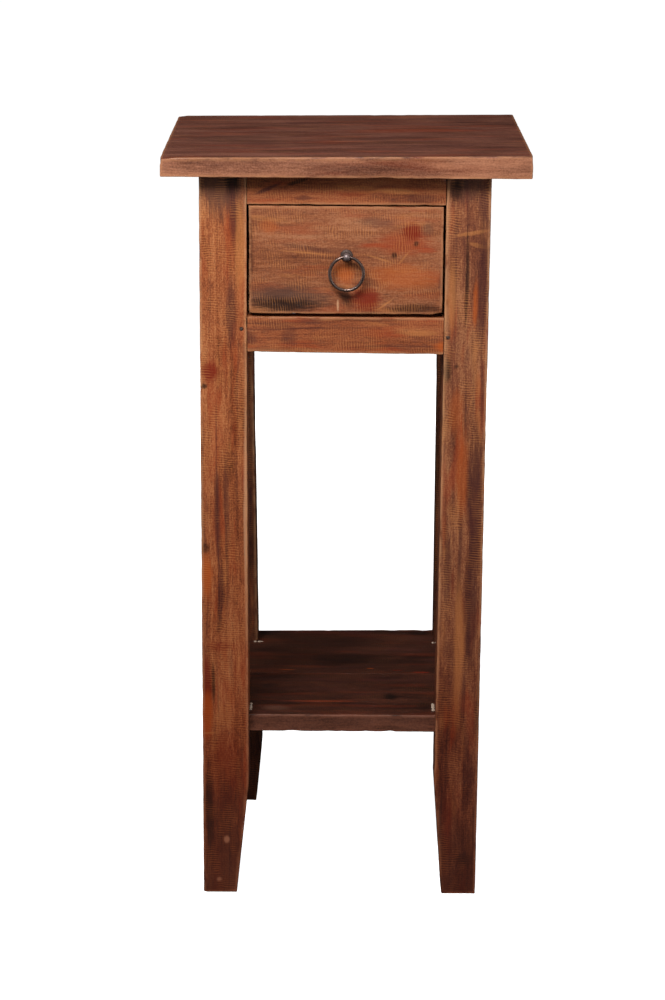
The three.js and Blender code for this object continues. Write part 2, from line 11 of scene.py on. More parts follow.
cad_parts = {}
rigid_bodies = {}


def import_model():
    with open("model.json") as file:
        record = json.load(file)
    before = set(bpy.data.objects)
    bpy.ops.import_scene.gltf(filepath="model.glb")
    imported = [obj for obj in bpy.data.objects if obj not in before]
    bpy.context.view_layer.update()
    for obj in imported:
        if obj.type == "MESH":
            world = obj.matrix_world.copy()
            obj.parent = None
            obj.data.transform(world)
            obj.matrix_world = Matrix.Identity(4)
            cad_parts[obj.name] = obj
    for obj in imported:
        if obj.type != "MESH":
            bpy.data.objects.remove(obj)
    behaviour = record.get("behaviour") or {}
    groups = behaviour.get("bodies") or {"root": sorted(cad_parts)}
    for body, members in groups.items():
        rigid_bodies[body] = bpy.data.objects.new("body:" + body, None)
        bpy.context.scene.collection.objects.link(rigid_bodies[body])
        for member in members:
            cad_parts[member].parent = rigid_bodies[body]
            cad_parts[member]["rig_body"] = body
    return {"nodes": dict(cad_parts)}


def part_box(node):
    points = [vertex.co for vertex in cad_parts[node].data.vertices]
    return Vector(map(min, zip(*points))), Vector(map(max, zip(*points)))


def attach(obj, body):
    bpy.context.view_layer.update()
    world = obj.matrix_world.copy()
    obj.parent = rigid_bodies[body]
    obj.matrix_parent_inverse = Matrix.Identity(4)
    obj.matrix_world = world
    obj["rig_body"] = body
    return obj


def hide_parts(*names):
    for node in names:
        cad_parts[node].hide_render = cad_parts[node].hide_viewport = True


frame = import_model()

MM = 0.001
X, Y, Z = 0, 1, 2

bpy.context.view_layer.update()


# ---- wooden pieces

# Depths, lengths and reaches are in mm. Dents and nicks set in where their noise passes the start.
BEVEL_SEGMENTS = 3
BEVEL_PROFILE = 0.6
TIGHT_ARRIS = 0.25
SEAM_REACH = 1.2
END_FACING = 0.8
FLAT_ANGLE = math.radians(1)
LEAST_ARRIS = math.radians(30)
SHARP_ANGLE = math.radians(38)
FIRST_CUT = 3.6
WAVE_DEPTH = 0.11
WAVE_LENGTH = 48
DENT_DEPTH = 1.3
DENT_LENGTH = 13
DENT_START = 0.12
NICK_DEPTH = 1.7
NICK_LENGTH = 4.5
NICK_START = 0.38
WEAR_REACH = 3.2
KNOCK_SOFTNESS = 1.3


def stand(name, bm, smooth=False):
    """Turns the bmesh into an object in the scene."""
    mesh = bpy.data.meshes.new(name)
    bm.to_mesh(mesh)
    bm.free()
    if smooth:
        mesh.shade_smooth()
    piece = bpy.data.objects.new(name, mesh)
    bpy.context.scene.collection.objects.link(piece)
    return piece


def flat_solid(node):
    """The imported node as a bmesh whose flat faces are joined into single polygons."""
    bm = bmesh.new()
    bm.from_mesh(frame["nodes"][node].data)
    bmesh.ops.remove_doubles(bm, verts=bm.verts, dist=1e-6)
    bmesh.ops.dissolve_limit(bm, angle_limit=FLAT_ANGLE, verts=bm.verts, edges=bm.edges)
    bm.normal_update()
    bm.faces.ensure_lookup_table()
    return bm


def open_faces(bm):
    """Indices of the faces that look straight out of the solid, so not the walls of its mortises."""
    tree = BVHTree.FromBMesh(bm)
    found = set()
    for face in bm.faces:
        start = face.calc_center_median() + face.normal * 1e-4
        if tree.ray_cast(start, face.normal)[0] is None:
            found.add(face.index)
    return found


def arris_width(edge, axis, arris, ends, tight):
    """How far an outer edge is rounded, in mm. Edges in a glued seam or shoulder stay tight."""
    middle = (edge.verts[0].co + edge.verts[1].co) / 2
    for tight_axis, place in tight:
        if abs(middle[tight_axis] - place) < SEAM_REACH * MM:
            return TIGHT_ARRIS
    if any(abs(face.normal[axis]) > END_FACING for face in edge.link_faces):
        return ends
    return arris


def weigh_arrises(bm, axis, arris, ends, tight):
    """Stores each outer edge's share of the widest bevel and returns the worn edges' end points."""
    widest = max(arris, ends)
    weights = bm.edges.layers.float.new("bevel_weight_edge")
    outer = open_faces(bm)
    worn = []
    for edge in bm.edges:
        faces = edge.link_faces
        if len(faces) != 2 or not edge.is_convex or edge.calc_face_angle() < LEAST_ARRIS:
            continue
        if faces[0].index not in outer or faces[1].index not in outer:
            continue
        width = arris_width(edge, axis, arris, ends, tight)
        edge[weights] = width / widest
        if width > TIGHT_ARRIS:
            worn.append((edge.verts[0].co.copy(), edge.verts[1].co.copy()))
    return worn


def bevelled(bm, widest, name):
    """The bmesh with its weighted edges rounded."""
    holder = stand(name, bm)
    mesh = holder.data
    bevel = holder.modifiers.new("arris", "BEVEL")
    bevel.limit_method = "WEIGHT"
    bevel.width = widest * MM
    bevel.segments = BEVEL_SEGMENTS
    bevel.profile = BEVEL_PROFILE
    bevel.use_clamp_overlap = False
    bpy.context.view_layer.update()
    rounded = bmesh.new()
    rounded.from_object(holder, bpy.context.evaluated_depsgraph_get())
    bpy.data.objects.remove(holder)
    bpy.data.meshes.remove(mesh)
    return rounded


def stations(low, high, pitch, border):
    """Places of the cuts between low and high: one near each side and evenly between them."""
    inner_low = low + border
    inner_high = high - border
    count = max(1, round((inner_high - inner_low) / pitch))
    return [inner_low + (inner_high - inner_low) * step / count for step in range(count + 1)]


def slice_up(bm, box, pitches):
    """Cuts the faces into a grid, the longest direction first, so that they can be shaped."""
    low, high = box
    for axis in sorted(range(3), key=lambda a: low[a] - high[a]):
        normal = Vector((axis == X, axis == Y, axis == Z))
        for place in stations(low[axis], high[axis], pitches[axis] * MM, FIRST_CUT * MM):
            geometry = bm.verts[:] + bm.edges[:] + bm.faces[:]
            bmesh.ops.bisect_plane(bm, geom=geometry, dist=1e-6, plane_co=normal * place, plane_no=normal)


def nearness(points, segments):
    """For each point, 1 on a worn arris and falling to 0 away from it."""
    if not segments:
        return np.zeros(len(points))
    nearest = np.full(len(points), 1.0)
    for start, end in segments:
        a = np.array(start)
        along = np.array(end) - a
        share = np.clip((points - a) @ along / (along @ along), 0, 1)
        gap = np.linalg.norm(points - a - share[:, None] * along, axis=1)
        nearest = np.minimum(nearest, gap)
    return np.exp(-(nearest / (WEAR_REACH * MM)) ** 2)


def wear_depth(point, near, seed, rough):
    """How far a point is worn inwards, in mm: a slow wave, and dents and nicks at the arrises."""
    p = point / MM
    wave = WAVE_DEPTH * (1 + noise.noise(p / WAVE_LENGTH + seed))
    dent = max(0.0, noise.noise(p / DENT_LENGTH + seed * 2) - DENT_START) * DENT_DEPTH
    nick = max(0.0, noise.noise(p / NICK_LENGTH + seed * 3) - NICK_START) * NICK_DEPTH
    return rough * (wave + near * (dent + nick))


def knock_depth(point, box, knocks):
    """How far the knocks press a point inwards, in mm. They lie at shares of the box."""
    low, high = box
    depth = 0.0
    for shares, radii, deep in knocks:
        centre = [low[a] + shares[a] * (high[a] - low[a]) for a in range(3)]
        reach = sum(((point[a] - centre[a]) / MM / radii[a]) ** 2 for a in range(3))
        if reach < 1:
            depth = max(depth, deep * (1 - reach) ** KNOCK_SOFTNESS)
    return depth


def worn_board(node, axis, finish, arris, ends, pitches, rough=1.0, tight=(), knocks=()):
    """Stands a worn copy of a packed wooden node in its place."""
    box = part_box(node)
    bm = flat_solid(node)
    segments = weigh_arrises(bm, axis, arris, ends, tight)
    bm = bevelled(bm, max(arris, ends), node + "_rough")
    slice_up(bm, box, pitches)
    bmesh.ops.remove_doubles(bm, verts=bm.verts, dist=2e-6)
    bm.normal_update()
    seed = Vector((len(node) * 7.3, sum(map(ord, node)) % 97, 31.7))
    points = np.array([v.co for v in bm.verts])
    near = nearness(points, segments)
    wear = bm.verts.layers.float.new("arris")
    grain_end = bm.verts.layers.float.new("grain_end")
    upright = bm.verts.layers.float.new("upright")
    moves = []
    for vertex, closeness in zip(bm.verts, near):
        vertex[wear] = closeness
        vertex[grain_end] = abs(vertex.normal[axis])
        vertex[upright] = 1 - abs(vertex.normal.z)
        depth = wear_depth(vertex.co, closeness, seed, rough) + knock_depth(vertex.co, box, knocks)
        moves.append(vertex.normal * (-depth * MM))
    for vertex, move in zip(bm.verts, moves):
        vertex.co += move
    piece = stand(node + "_worn", bm, smooth=True)
    piece.data.set_sharp_from_angle(angle=SHARP_ANGLE)
    weighted = piece.modifiers.new("flat faces", "WEIGHTED_NORMAL")
    weighted.keep_sharp = True
    finish_piece(piece, finish, node)


def finish_piece(piece, material, node):
    """Gives a piece its material and the body of the node that it stands for."""
    piece.data.materials.append(material)
    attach(piece, frame["nodes"][node]["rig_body"])
    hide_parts(node)


# ---- node trees


def srgb(red, green, blue):
    """A display colour of 0 to 255 values as a linear colour."""
    shares = [value / 255 for value in (red, green, blue)]
    linear = [s / 12.92 if s <= 0.04045 else ((s + 0.055) / 1.055) ** 2.4 for s in shares]
    return (*linear, 1.0)


class Tree:
    """A material's node tree, with a short call for each kind of node that the finishes use."""

    def __init__(self, name):
        self.material = bpy.data.materials.new(name)
        self.material.use_nodes = True
        self.nodes = self.material.node_tree.nodes
        self.links = self.material.node_tree.links
        self.nodes.clear()
        output = self.nodes.new("ShaderNodeOutputMaterial")
        self.shader = self.nodes.new("ShaderNodeBsdfPrincipled")
        self.links.new(self.shader.outputs["BSDF"], output.inputs["Surface"])

    def put(self, socket, value):
        """Links a socket to the value, or sets it."""
        if isinstance(value, bpy.types.NodeSocket):
            self.links.new(value, socket)
        else:
            socket.default_value = value

    def node(self, kind, *values, **settings):
        """A new node with these settings, and with its first inputs linked or set."""
        made = self.nodes.new("ShaderNode" + kind)
        for name, setting in settings.items():
            setattr(made, name, setting)
        for socket, value in zip(made.inputs, values):
            if value is not None:
                self.put(socket, value)
        return made

    def surface(self, name, value):
        """Sets or links one of the shader's own inputs."""
        self.put(self.shader.inputs[name], value)

    def millimetres(self):
        """The point being shaded, in mm of the shared frame at rest."""
        return self.vector("SCALE", self.node("TexCoord").outputs["Object"], scale=1 / MM)

    def vector(self, operation, first, second=None, third=None, scale=None, output="Vector"):
        return self.node("VectorMath", first, second, third, scale, operation=operation).outputs[output]

    def math(self, operation, first, second=0.0, third=0.0):
        return self.node("Math", first, second, third, operation=operation).outputs[0]

    def swing(self, value, amount, rest):
        """The rest value, moved up and down as the value leaves one half."""
        return self.math("MULTIPLY_ADD", self.math("SUBTRACT", value, 0.5), amount, rest)

    def stretch(self, place, sizes, shift=0.0):
        """Coordinates divided by the sizes in mm, moved by a shift of its own for each use."""
        factors = [1 / size for size in sizes]
        return self.vector("MULTIPLY_ADD", place, factors, [shift, shift * 1.7, shift * 0.6])

    def noise(self, place, detail=2.0, roughness=0.5, output="Fac"):
        node = self.node("TexNoise")
        self.put(node.inputs["Vector"], place)
        self.put(node.inputs["Scale"], 1.0)
        self.put(node.inputs["Detail"], detail)
        self.put(node.inputs["Roughness"], roughness)
        return node.outputs[output]

    def remap(self, value, low, high, to_low=0.0, to_high=1.0):
        numbers = (value, low, high, to_low, to_high)
        return self.node("MapRange", *numbers, interpolation_type="SMOOTHSTEP").outputs["Result"]

    def mix(self, share, first, second, blend="MIX"):
        node = self.node("Mix", share, data_type="RGBA", blend_type=blend)
        self.put(node.inputs[6], first)
        self.put(node.inputs[7], second)
        return node.outputs[2]

    def ramp(self, share, stops):
        node = self.node("ValToRGB", share)
        elements = node.color_ramp.elements
        while len(elements) < len(stops):
            elements.new(0.5)
        for element, (position, colour) in zip(elements, stops):
            element.position = position
            element.color = colour
        return node.outputs["Color"]

    def attribute(self, name):
        return self.node("Attribute", attribute_name=name).outputs["Fac"]

    def component(self, place, axis):
        return self.node("SeparateXYZ", place).outputs[axis]

    def join(self, first, second, third):
        return self.node("CombineXYZ", first, second, third).outputs[0]

    def bump(self, height):
        """Surface relief from a height in mm."""
        node = self.node("Bump")
        self.put(node.inputs["Height"], height)
        self.put(node.inputs["Distance"], MM)
        self.put(node.inputs["Strength"], 1.0)
        return node.outputs["Normal"]


# ---- wood finishes

INKS = {
    "pitch": srgb(14, 8, 7),
    "black": srgb(28, 15, 12),
    "brown": srgb(78, 38, 24),
    "purple": srgb(68, 34, 32),
    "grey": srgb(84, 56, 46),
    "rust": srgb(120, 34, 18),
    "red": srgb(150, 58, 28),
    "orange": srgb(180, 84, 30),
    "gold": srgb(198, 128, 72),
    "pale": srgb(214, 164, 124),
}

RIPPLE_PITCH = 2.4
MARK_DEPTH = 14


def grain_sizes(axis, along, across):
    return [along if a == axis else across for a in range(3)]


def grain(t, place, axis, along, across, shift, detail=2.0, roughness=0.5, output="Fac"):
    """Noise drawn out along the grain, with its sizes in mm."""
    return t.noise(t.stretch(place, grain_sizes(axis, along, across), shift), detail, roughness, output)


def figure(t, place, axis, pith, shift):
    """Growth rings round a pith line that lies beside the piece, as a value about 0.5."""
    tilt = t.math("MULTIPLY", t.component(place, axis), 0.02)
    flat = t.vector("MULTIPLY", t.vector("SUBTRACT", place, pith), [float(a != axis) for a in range(3)])
    ring = t.math("ADD", t.vector("LENGTH", flat, output="Value"), tilt)
    wander = grain(t, place, axis, 190, 36, shift)
    ring = t.math("MULTIPLY_ADD", wander, 12.0, ring)
    line = t.join(t.math("DIVIDE", ring, 3.4), t.math("DIVIDE", t.component(place, axis), 340), shift)
    return t.noise(line, 5.0, 0.7)


def ripple_wave(t, place, axis, shift):
    """Cutter marks across the grain, from 0 to 1, and how clearly they show."""
    across = t.component(place, X if axis != X else Z)
    bend = grain(t, place, axis, 15, 19, shift + 3)
    phase = t.math("MULTIPLY_ADD", bend, 16.0, t.math("MULTIPLY", across, 0.16))
    turn = t.math("MULTIPLY_ADD", t.component(place, axis), 2 * math.pi / RIPPLE_PITCH, phase)
    wave = t.math("MULTIPLY_ADD", t.math("SINE", turn), 0.5, 0.5)
    clear = t.remap(grain(t, place, axis, 30, 13, shift + 9), 0.42, 0.66)
    clear = t.math("MULTIPLY_ADD", clear, 0.9, 0.08)
    return wave, clear


def add_marks(t, colour, place, marks, area, depth_axis, fray):
    """Lays stains, knots and streaks on the colour, at shares of the area from its low corner."""
    low, high = (corner / MM for corner in area)
    u_axis, v_axis = [a for a in range(3) if a != depth_axis]
    for ink, across, up, half_u, half_v, strength, *turn in marks:
        centre = low.copy() if depth_axis == Y else high.copy()
        centre[u_axis] = low[u_axis] + across * (high[u_axis] - low[u_axis])
        centre[v_axis] = low[v_axis] + up * (high[v_axis] - low[v_axis])
        angle = math.radians(turn[0]) if turn else 0.0
        long_way = Vector((0, 0, 0))
        long_way[u_axis] = math.cos(angle) / half_u
        long_way[v_axis] = math.sin(angle) / half_u
        short_way = Vector((0, 0, 0))
        short_way[u_axis] = -math.sin(angle) / half_v
        short_way[v_axis] = math.cos(angle) / half_v
        deep_way = Vector((0, 0, 0))
        deep_way[depth_axis] = 1 / MARK_DEPTH
        from_centre = t.vector("SUBTRACT", place, centre)
        ways = (long_way, short_way, deep_way)
        parts = [t.vector("DOT_PRODUCT", from_centre, way, output="Value") for way in ways]
        reach = t.vector("LENGTH", t.join(*parts), output="Value")
        share = t.remap(t.math("ADD", reach, fray), 1.3, 0.45, 0.0, strength)
        colour = t.mix(share, colour, INKS[ink])
    return colour


def stained_wood(node, axis, tones, shift, pith, marks=(), area=None, depth_axis=Y, streaks=0.6,
                 reds=0.45, ripple=1.0, wear=0.6, golds=0.3, stains=0.45, fade=None, contrast=1.0,
                 lit_side_tone=None, worn_tone=(176, 120, 82)):
    """Brown-red stain over figured wood, under satin lacquer."""
    t = Tree("wood_" + node)
    place = t.millimetres()
    sway = grain(t, place, axis, 85, 45, shift, 1.0, output="Color")
    sway = t.vector("SUBTRACT", sway, [0.5, 0.5, 0.5])
    bent = t.vector("MULTIPLY_ADD", sway, grain_sizes(axis, 8, 7), place)
    rings = figure(t, bent, axis, pith, shift)
    broad = grain(t, bent, axis, 100, 19, shift + 1, 3.0, 0.55)
    band = grain(t, bent, axis, 210, 2.6, shift + 2, 3.0, 0.6)
    fibre = grain(t, bent, axis, 14, 0.9, shift + 4, 4.0, 0.7)
    speck = grain(t, place, axis, 1.9, 1.4, shift + 12, 3.0, 0.7)
    tone = t.swing(rings, 0.5 * contrast, 0.5)
    tone = t.swing(broad, 0.8 * contrast, tone)
    tone = t.swing(band, 0.35 * contrast, tone)
    tone = t.swing(fibre, 0.75 * contrast, tone)
    tone = t.swing(speck, 0.9 * contrast, tone)
    dark, middle, light = (srgb(*tone_colour) for tone_colour in tones)
    colour = t.ramp(tone, [(0.12, dark), (0.5, middle), (0.88, light)])

    redness = grain(t, bent, axis, 80, 12, shift + 5)
    colour = t.mix(t.remap(redness, 0.52, 0.68, 0.0, reds), colour, INKS["red"])
    golden = grain(t, bent, axis, 60, 10, shift + 6)
    colour = t.mix(t.remap(golden, 0.56, 0.74, 0.0, golds), colour, INKS["gold"])
    line = grain(t, bent, axis, 240, 5, shift + 7)
    colour = t.mix(t.remap(line, 0.58, 0.74, 0.0, streaks), colour, INKS["purple"])
    pore = t.remap(grain(t, bent, axis, 6, 0.6, shift + 8, 1.0), 0.58, 0.72)
    colour = t.mix(t.math("MULTIPLY", pore, 0.35), colour, INKS["black"])
    stain = grain(t, bent, axis, 70, 14, shift + 13, 3.0, 0.55)
    colour = t.mix(t.remap(stain, 0.55, 0.75, 0.0, stains), colour, INKS["purple"])

    fray = t.math("MULTIPLY", t.math("SUBTRACT", fibre, 0.5), 1.1)
    fray = t.swing(broad, 0.9, fray)
    if marks:
        colour = add_marks(t, colour, bent, marks, area, depth_axis, fray)

    wave, clear = ripple_wave(t, place, axis, shift)
    shown = t.math("MULTIPLY", clear, ripple)
    trough = t.math("MULTIPLY", t.remap(wave, 0.35, 0.95), shown)
    crest = t.math("MULTIPLY", t.remap(wave, 0.45, 0.0), shown)
    colour = t.mix(t.math("MULTIPLY", trough, 0.2), colour, INKS["brown"])
    colour = t.mix(t.math("MULTIPLY", crest, 0.3), colour, INKS["gold"])
    ends = t.remap(t.attribute("grain_end"), 0.55, 0.9, 0.0, 0.55)
    colour = t.mix(ends, colour, INKS["brown"])
    # Painted light: faces that stand upright take lighter tones than faces that look up, as if lit from
    # the front.
    if lit_side_tone:
        lit_side_share = t.remap(t.attribute("upright"), 0.5, 0.95, 0.0, 0.8)
        lit_side_share = t.math("MULTIPLY", lit_side_share, t.remap(broad, 0.3, 0.6, 0.55, 1.0))
        lighter = t.ramp(tone, [(0.1, srgb(*lit_side_tone[0])), (0.8, srgb(*lit_side_tone[1]))])
        colour = t.mix(lit_side_share, colour, lighter)
    near = t.attribute("arris")
    scuff = grain(t, place, axis, 17, 5, shift + 10, 3.0, 0.65)
    worn = t.math("MULTIPLY", t.remap(near, 0.3, 0.9), t.remap(scuff, 0.3, 0.55))
    colour = t.mix(t.math("MULTIPLY", worn, wear), colour, srgb(*worn_tone))
    # Darker towards the floor: partly stain and partly painted shade.
    if fade:
        low, high, shade = fade
        height = t.swing(broad, 90.0, t.component(place, Z))
        share = t.remap(height, high, low)
        colour = t.mix(share, colour, srgb(*shade), "MULTIPLY")
    t.surface("Base Color", colour)

    rough = t.swing(broad, 0.3, 0.44)
    rough = t.math("MULTIPLY_ADD", pore, 0.15, rough)
    t.surface("Roughness", rough)
    t.surface("Specular IOR Level", 0.22)
    t.surface("Coat Weight", 0.05)
    t.surface("Coat Roughness", 0.25)
    height = t.math("MULTIPLY", t.math("MULTIPLY", wave, shown), 0.035)
    height = t.math("MULTIPLY_ADD", fibre, 0.06, height)
    height = t.math("MULTIPLY_ADD", pore, -0.07, height)
    height = t.math("MULTIPLY_ADD", rings, 0.12, height)
    t.surface("Normal", t.bump(height))
    return t.material


def bare_wood(node, axis, tones, shift, pith):
    """Planed, unstained secondary wood with a little dust and handling."""
    t = Tree("wood_" + node)
    place = t.millimetres()
    rings = figure(t, place, axis, pith, shift)
    fibre = grain(t, place, axis, 22, 0.7, shift + 4, 2.0, 0.6)
    broad = grain(t, place, axis, 90, 24, shift + 1)
    tone = t.swing(rings, 1.5, 0.5)
    tone = t.swing(fibre, 0.6, tone)
    tone = t.swing(broad, 0.8, tone)
    dark, middle, light = (srgb(*tone_colour) for tone_colour in tones)
    colour = t.ramp(tone, [(0.15, dark), (0.5, middle), (0.85, light)])
    pore = t.remap(grain(t, place, axis, 5, 0.4, shift + 8, 1.0), 0.62, 0.72)
    colour = t.mix(t.math("MULTIPLY", pore, 0.4), colour, dark)
    grime = t.noise(t.stretch(place, [34, 34, 34], shift + 11), 3.0, 0.6)
    colour = t.mix(t.remap(grime, 0.5, 0.72, 0.0, 0.45), colour, srgb(96, 66, 46))
    ends = t.remap(t.attribute("grain_end"), 0.55, 0.9, 0.0, 0.6)
    colour = t.mix(ends, colour, dark)
    worn = t.math("MULTIPLY", t.attribute("arris"), 0.35)
    colour = t.mix(worn, colour, light)
    t.surface("Base Color", colour)
    t.surface("Roughness", t.math("MULTIPLY_ADD", broad, 0.2, 0.58))
    t.surface("Specular IOR Level", 0.3)
    height = t.math("MULTIPLY_ADD", rings, 0.15, t.math("MULTIPLY", fibre, 0.08))
    height = t.math("MULTIPLY_ADD", pore, -0.09, height)
    t.surface("Normal", t.bump(height))
    return t.material


# ---- metal pieces

# Segments round the turned pieces.
ROUND = 32
NAIL_ROUND = 20
SCREW_ROUND = 24
STUD_ROUND = 40
PLATE_ROUND = 48
# Sizes in mm.
NAIL_SHANK = 0.9
NAIL_HEAD = 0.8
NAIL_POINT = 2
SCREW_CORE = 1.45
SCREW_CREST = 1.95
SCREW_PITCH = 1.6
SLOT_HALF = (4.5, 0.5, 1.2)
STUD_NECK = 2.9
STUD_SHANK = 2.0
STUD_PITCH = 0.7
BALL_HOLE = 2.7
HOLE_REACH = 9
PLATE_BORE = 2.3


def lathe(name, axis, centre, profile, segments=ROUND):
    """A turned solid about an axis, from (place along the axis, radius) points in metres."""
    bm = bmesh.new()
    sides = [a for a in range(3) if a != axis]
    rows = []
    for place, radius in profile:
        row = []
        for step in range(1 if radius == 0 else segments):
            angle = 2 * math.pi * step / segments
            point = list(centre)
            point[axis] = place
            point[sides[0]] += radius * math.cos(angle)
            point[sides[1]] += radius * math.sin(angle)
            row.append(bm.verts.new(point))
        rows.append(row)
    for low, high in zip(rows, rows[1:]):
        for step in range(segments):
            follow = (step + 1) % segments
            corners = [low[step % len(low)], low[follow % len(low)], high[follow % len(high)],
                       high[step % len(high)]]
            bm.faces.new(list(dict.fromkeys(corners)))
    bmesh.ops.recalc_face_normals(bm, faces=bm.faces)
    return stand(name, bm)


def apply_modifiers(piece):
    """Replaces the piece's mesh with its modified shape."""
    bpy.context.view_layer.update()
    solid = bpy.data.meshes.new_from_object(piece.evaluated_get(bpy.context.evaluated_depsgraph_get()))
    piece.modifiers.clear()
    piece.data = solid


def settle(piece, finish, node, bevel=0.0, angle=35):
    """Applies the piece's modifiers with an optional small bevel, shades it smooth and finishes it."""
    if bevel:
        rounding = piece.modifiers.new("round", "BEVEL")
        rounding.width = bevel * MM
        rounding.segments = 2
        rounding.angle_limit = math.radians(angle)
    apply_modifiers(piece)
    piece.data.shade_smooth()
    piece.data.set_sharp_from_angle(angle=math.radians(angle))
    finish_piece(piece, finish, node)


def cut(piece, tool):
    """Takes the tool's shape out of the piece and removes the tool."""
    carving = piece.modifiers.new("cut", "BOOLEAN")
    carving.operation = "DIFFERENCE"
    carving.object = tool
    carving.solver = "EXACT"
    apply_modifiers(piece)
    bpy.data.objects.remove(tool)


def drill(piece, axis, centre, radius, low, high, segments=ROUND):
    """Cuts a round hole through the piece, from one place along the axis to another."""
    rod = [(low, 0.0), (low, radius), (high, radius), (high, 0.0)]
    cut(piece, lathe("drill", axis, centre, rod, segments))


def block(name, low, high):
    """A box from corner to corner."""
    bm = bmesh.new()
    bmesh.ops.create_cube(bm, size=1.0)
    for vertex in bm.verts:
        vertex.co = Vector([(low[a] + high[a]) / 2 + vertex.co[a] * (high[a] - low[a]) for a in range(3)])
    return stand(name, bm)


def fastener_axis(node):
    """A nail's or screw's axis, centre, places of the head and the point, and head radius."""
    low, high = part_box(node)
    axis = max(range(3), key=lambda a: high[a] - low[a])
    centre = (low + high) / 2
    sides = [a for a in range(3) if a != axis]
    widest = {low[axis]: 0.0, high[axis]: 0.0}
    for vertex in frame["nodes"][node].data.vertices:
        radius = math.hypot(*(vertex.co[a] - centre[a] for a in sides))
        for end in widest:
            if abs(vertex.co[axis] - end) < 0.2 * MM:
                widest[end] = max(widest[end], radius)
    head = max(widest, key=widest.get)
    point = low[axis] if head == high[axis] else high[axis]
    return axis, centre, head, point, widest[head]


def smooth_nail(node, finish):
    """A wire nail with a slightly domed head."""
    axis, centre, head, point, head_radius = fastener_axis(node)
    way = 1 if point > head else -1
    shank = NAIL_SHANK * MM
    thick = NAIL_HEAD * MM
    steps = [(0.0, 0.0), (0.02 * MM, 0.45 * head_radius), (0.12 * MM, 0.8 * head_radius),
             (0.3 * MM, head_radius), (0.62 * MM, head_radius), (thick, 0.85 * head_radius),
             (thick, shank), (abs(point - head) - NAIL_POINT * MM, shank), (abs(point - head), 0.0)]
    piece = lathe(node + "_smooth", axis, centre, [(head + way * s, r) for s, r in steps], NAIL_ROUND)
    settle(piece, finish, node)


def smooth_screw(node, finish):
    """A slotted wood screw with a countersunk head and a threaded shank."""
    axis, centre, head, point, head_radius = fastener_axis(node)
    way = 1 if point > head else -1
    core = SCREW_CORE * MM
    crest = SCREW_CREST * MM
    length = abs(point - head)
    steps = [(0.0, 0.0), (0.0, 0.9 * head_radius), (0.15 * MM, 0.99 * head_radius),
             (0.35 * MM, 0.99 * head_radius), (2.4 * MM, crest), (9 * MM, crest)]
    pitch = SCREW_PITCH * MM
    place = 9.4 * MM
    while place < length - 5 * MM:
        steps += [(place, core), (place + pitch * 0.5, crest)]
        place += pitch
    steps += [(length - 4.5 * MM, core), (length, 0.0)]
    piece = lathe(node + "_smooth", axis, centre, [(head + way * s, r) for s, r in steps], SCREW_ROUND)
    low = centre - Vector(SLOT_HALF) * MM
    high = centre + Vector(SLOT_HALF) * MM
    low[axis] = head - SLOT_HALF[Z] * MM
    high[axis] = head + SLOT_HALF[Z] * MM
    cut(piece, block("slot_tool", low, high))
    settle(piece, finish, node)


def smooth_ring(finish):
    """The finger ring: a hand-bent iron wire, a little thinner where it has worn in the ball."""
    low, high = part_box("pull_ring")
    centre = (low + high) / 2
    wire = (high.y - low.y) / 2
    radius = (high.x - low.x) / 2 - wire
    around, section = 112, 20
    bm = bmesh.new()
    rows = []
    for step in range(around):
        turn = 2 * math.pi * step / around
        outward = Vector((math.cos(turn), 0, math.sin(turn)))
        thin = wire * (0.94 - 0.10 * max(0.0, math.sin(turn)) ** 4 + 0.05 * noise.noise(outward * 3.1))
        row = []
        for place in range(section):
            angle = 2 * math.pi * place / section
            bead = noise.noise(outward * 9 + Vector((math.cos(angle), math.sin(angle), 0)) * 0.9)
            reach = thin * (0.97 + 0.03 * bead)
            offset = outward * math.cos(angle) * reach + Vector((0, math.sin(angle) * reach, 0))
            row.append(bm.verts.new(centre + outward * radius + offset))
        rows.append(row)
    for step in range(around):
        here, ahead = rows[step], rows[(step + 1) % around]
        for place in range(section):
            follow = (place + 1) % section
            bm.faces.new([here[place], here[follow], ahead[follow], ahead[place]])
    bmesh.ops.recalc_face_normals(bm, faces=bm.faces)
    piece = stand("pull_ring_smooth", bm, smooth=True)
    finish_piece(piece, finish, "pull_ring")


def smooth_stud(finish):
    """The pull's stud: a ball with a cross hole, a flared neck, and a threaded shank behind."""
    low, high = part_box("pull_stud")
    centre = (low + high) / 2
    ball = (high.x - low.x) / 2
    ball_y = low.y + ball
    rose_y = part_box("pull_rose")[0].y
    nut_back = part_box("pull_nut")[1].y
    neck = STUD_NECK * MM
    shank = STUD_SHANK * MM
    steps = []
    rows = 20
    last = math.pi - math.asin(neck / ball)
    for row in range(rows + 1):
        angle = last * row / rows
        steps.append((ball_y - ball * math.cos(angle), ball * math.sin(angle)))
    flare = steps[-1][0]
    steps += [(flare + (rose_y - flare) * 0.5, neck * 0.93), (rose_y - 0.3 * MM, neck)]
    steps += [(rose_y - 0.25 * MM, shank), (nut_back - 4 * MM, shank)]
    pitch = STUD_PITCH * MM
    place = nut_back - 3.9 * MM
    while place < high.y - 0.8 * MM:
        steps += [(place, shank * 0.86), (place + pitch / 2, shank)]
        place += pitch
    steps += [(high.y - 0.35 * MM, shank * 0.84), (high.y, shank * 0.6), (high.y, 0.0)]
    piece = lathe("pull_stud_smooth", Y, centre, steps, STUD_ROUND)
    ball_centre = Vector((centre.x, ball_y, centre.z))
    reach = HOLE_REACH * MM
    drill(piece, X, ball_centre, BALL_HOLE * MM, centre.x - reach, centre.x + reach, STUD_ROUND)
    settle(piece, finish, "pull_stud", 0.3, 45)


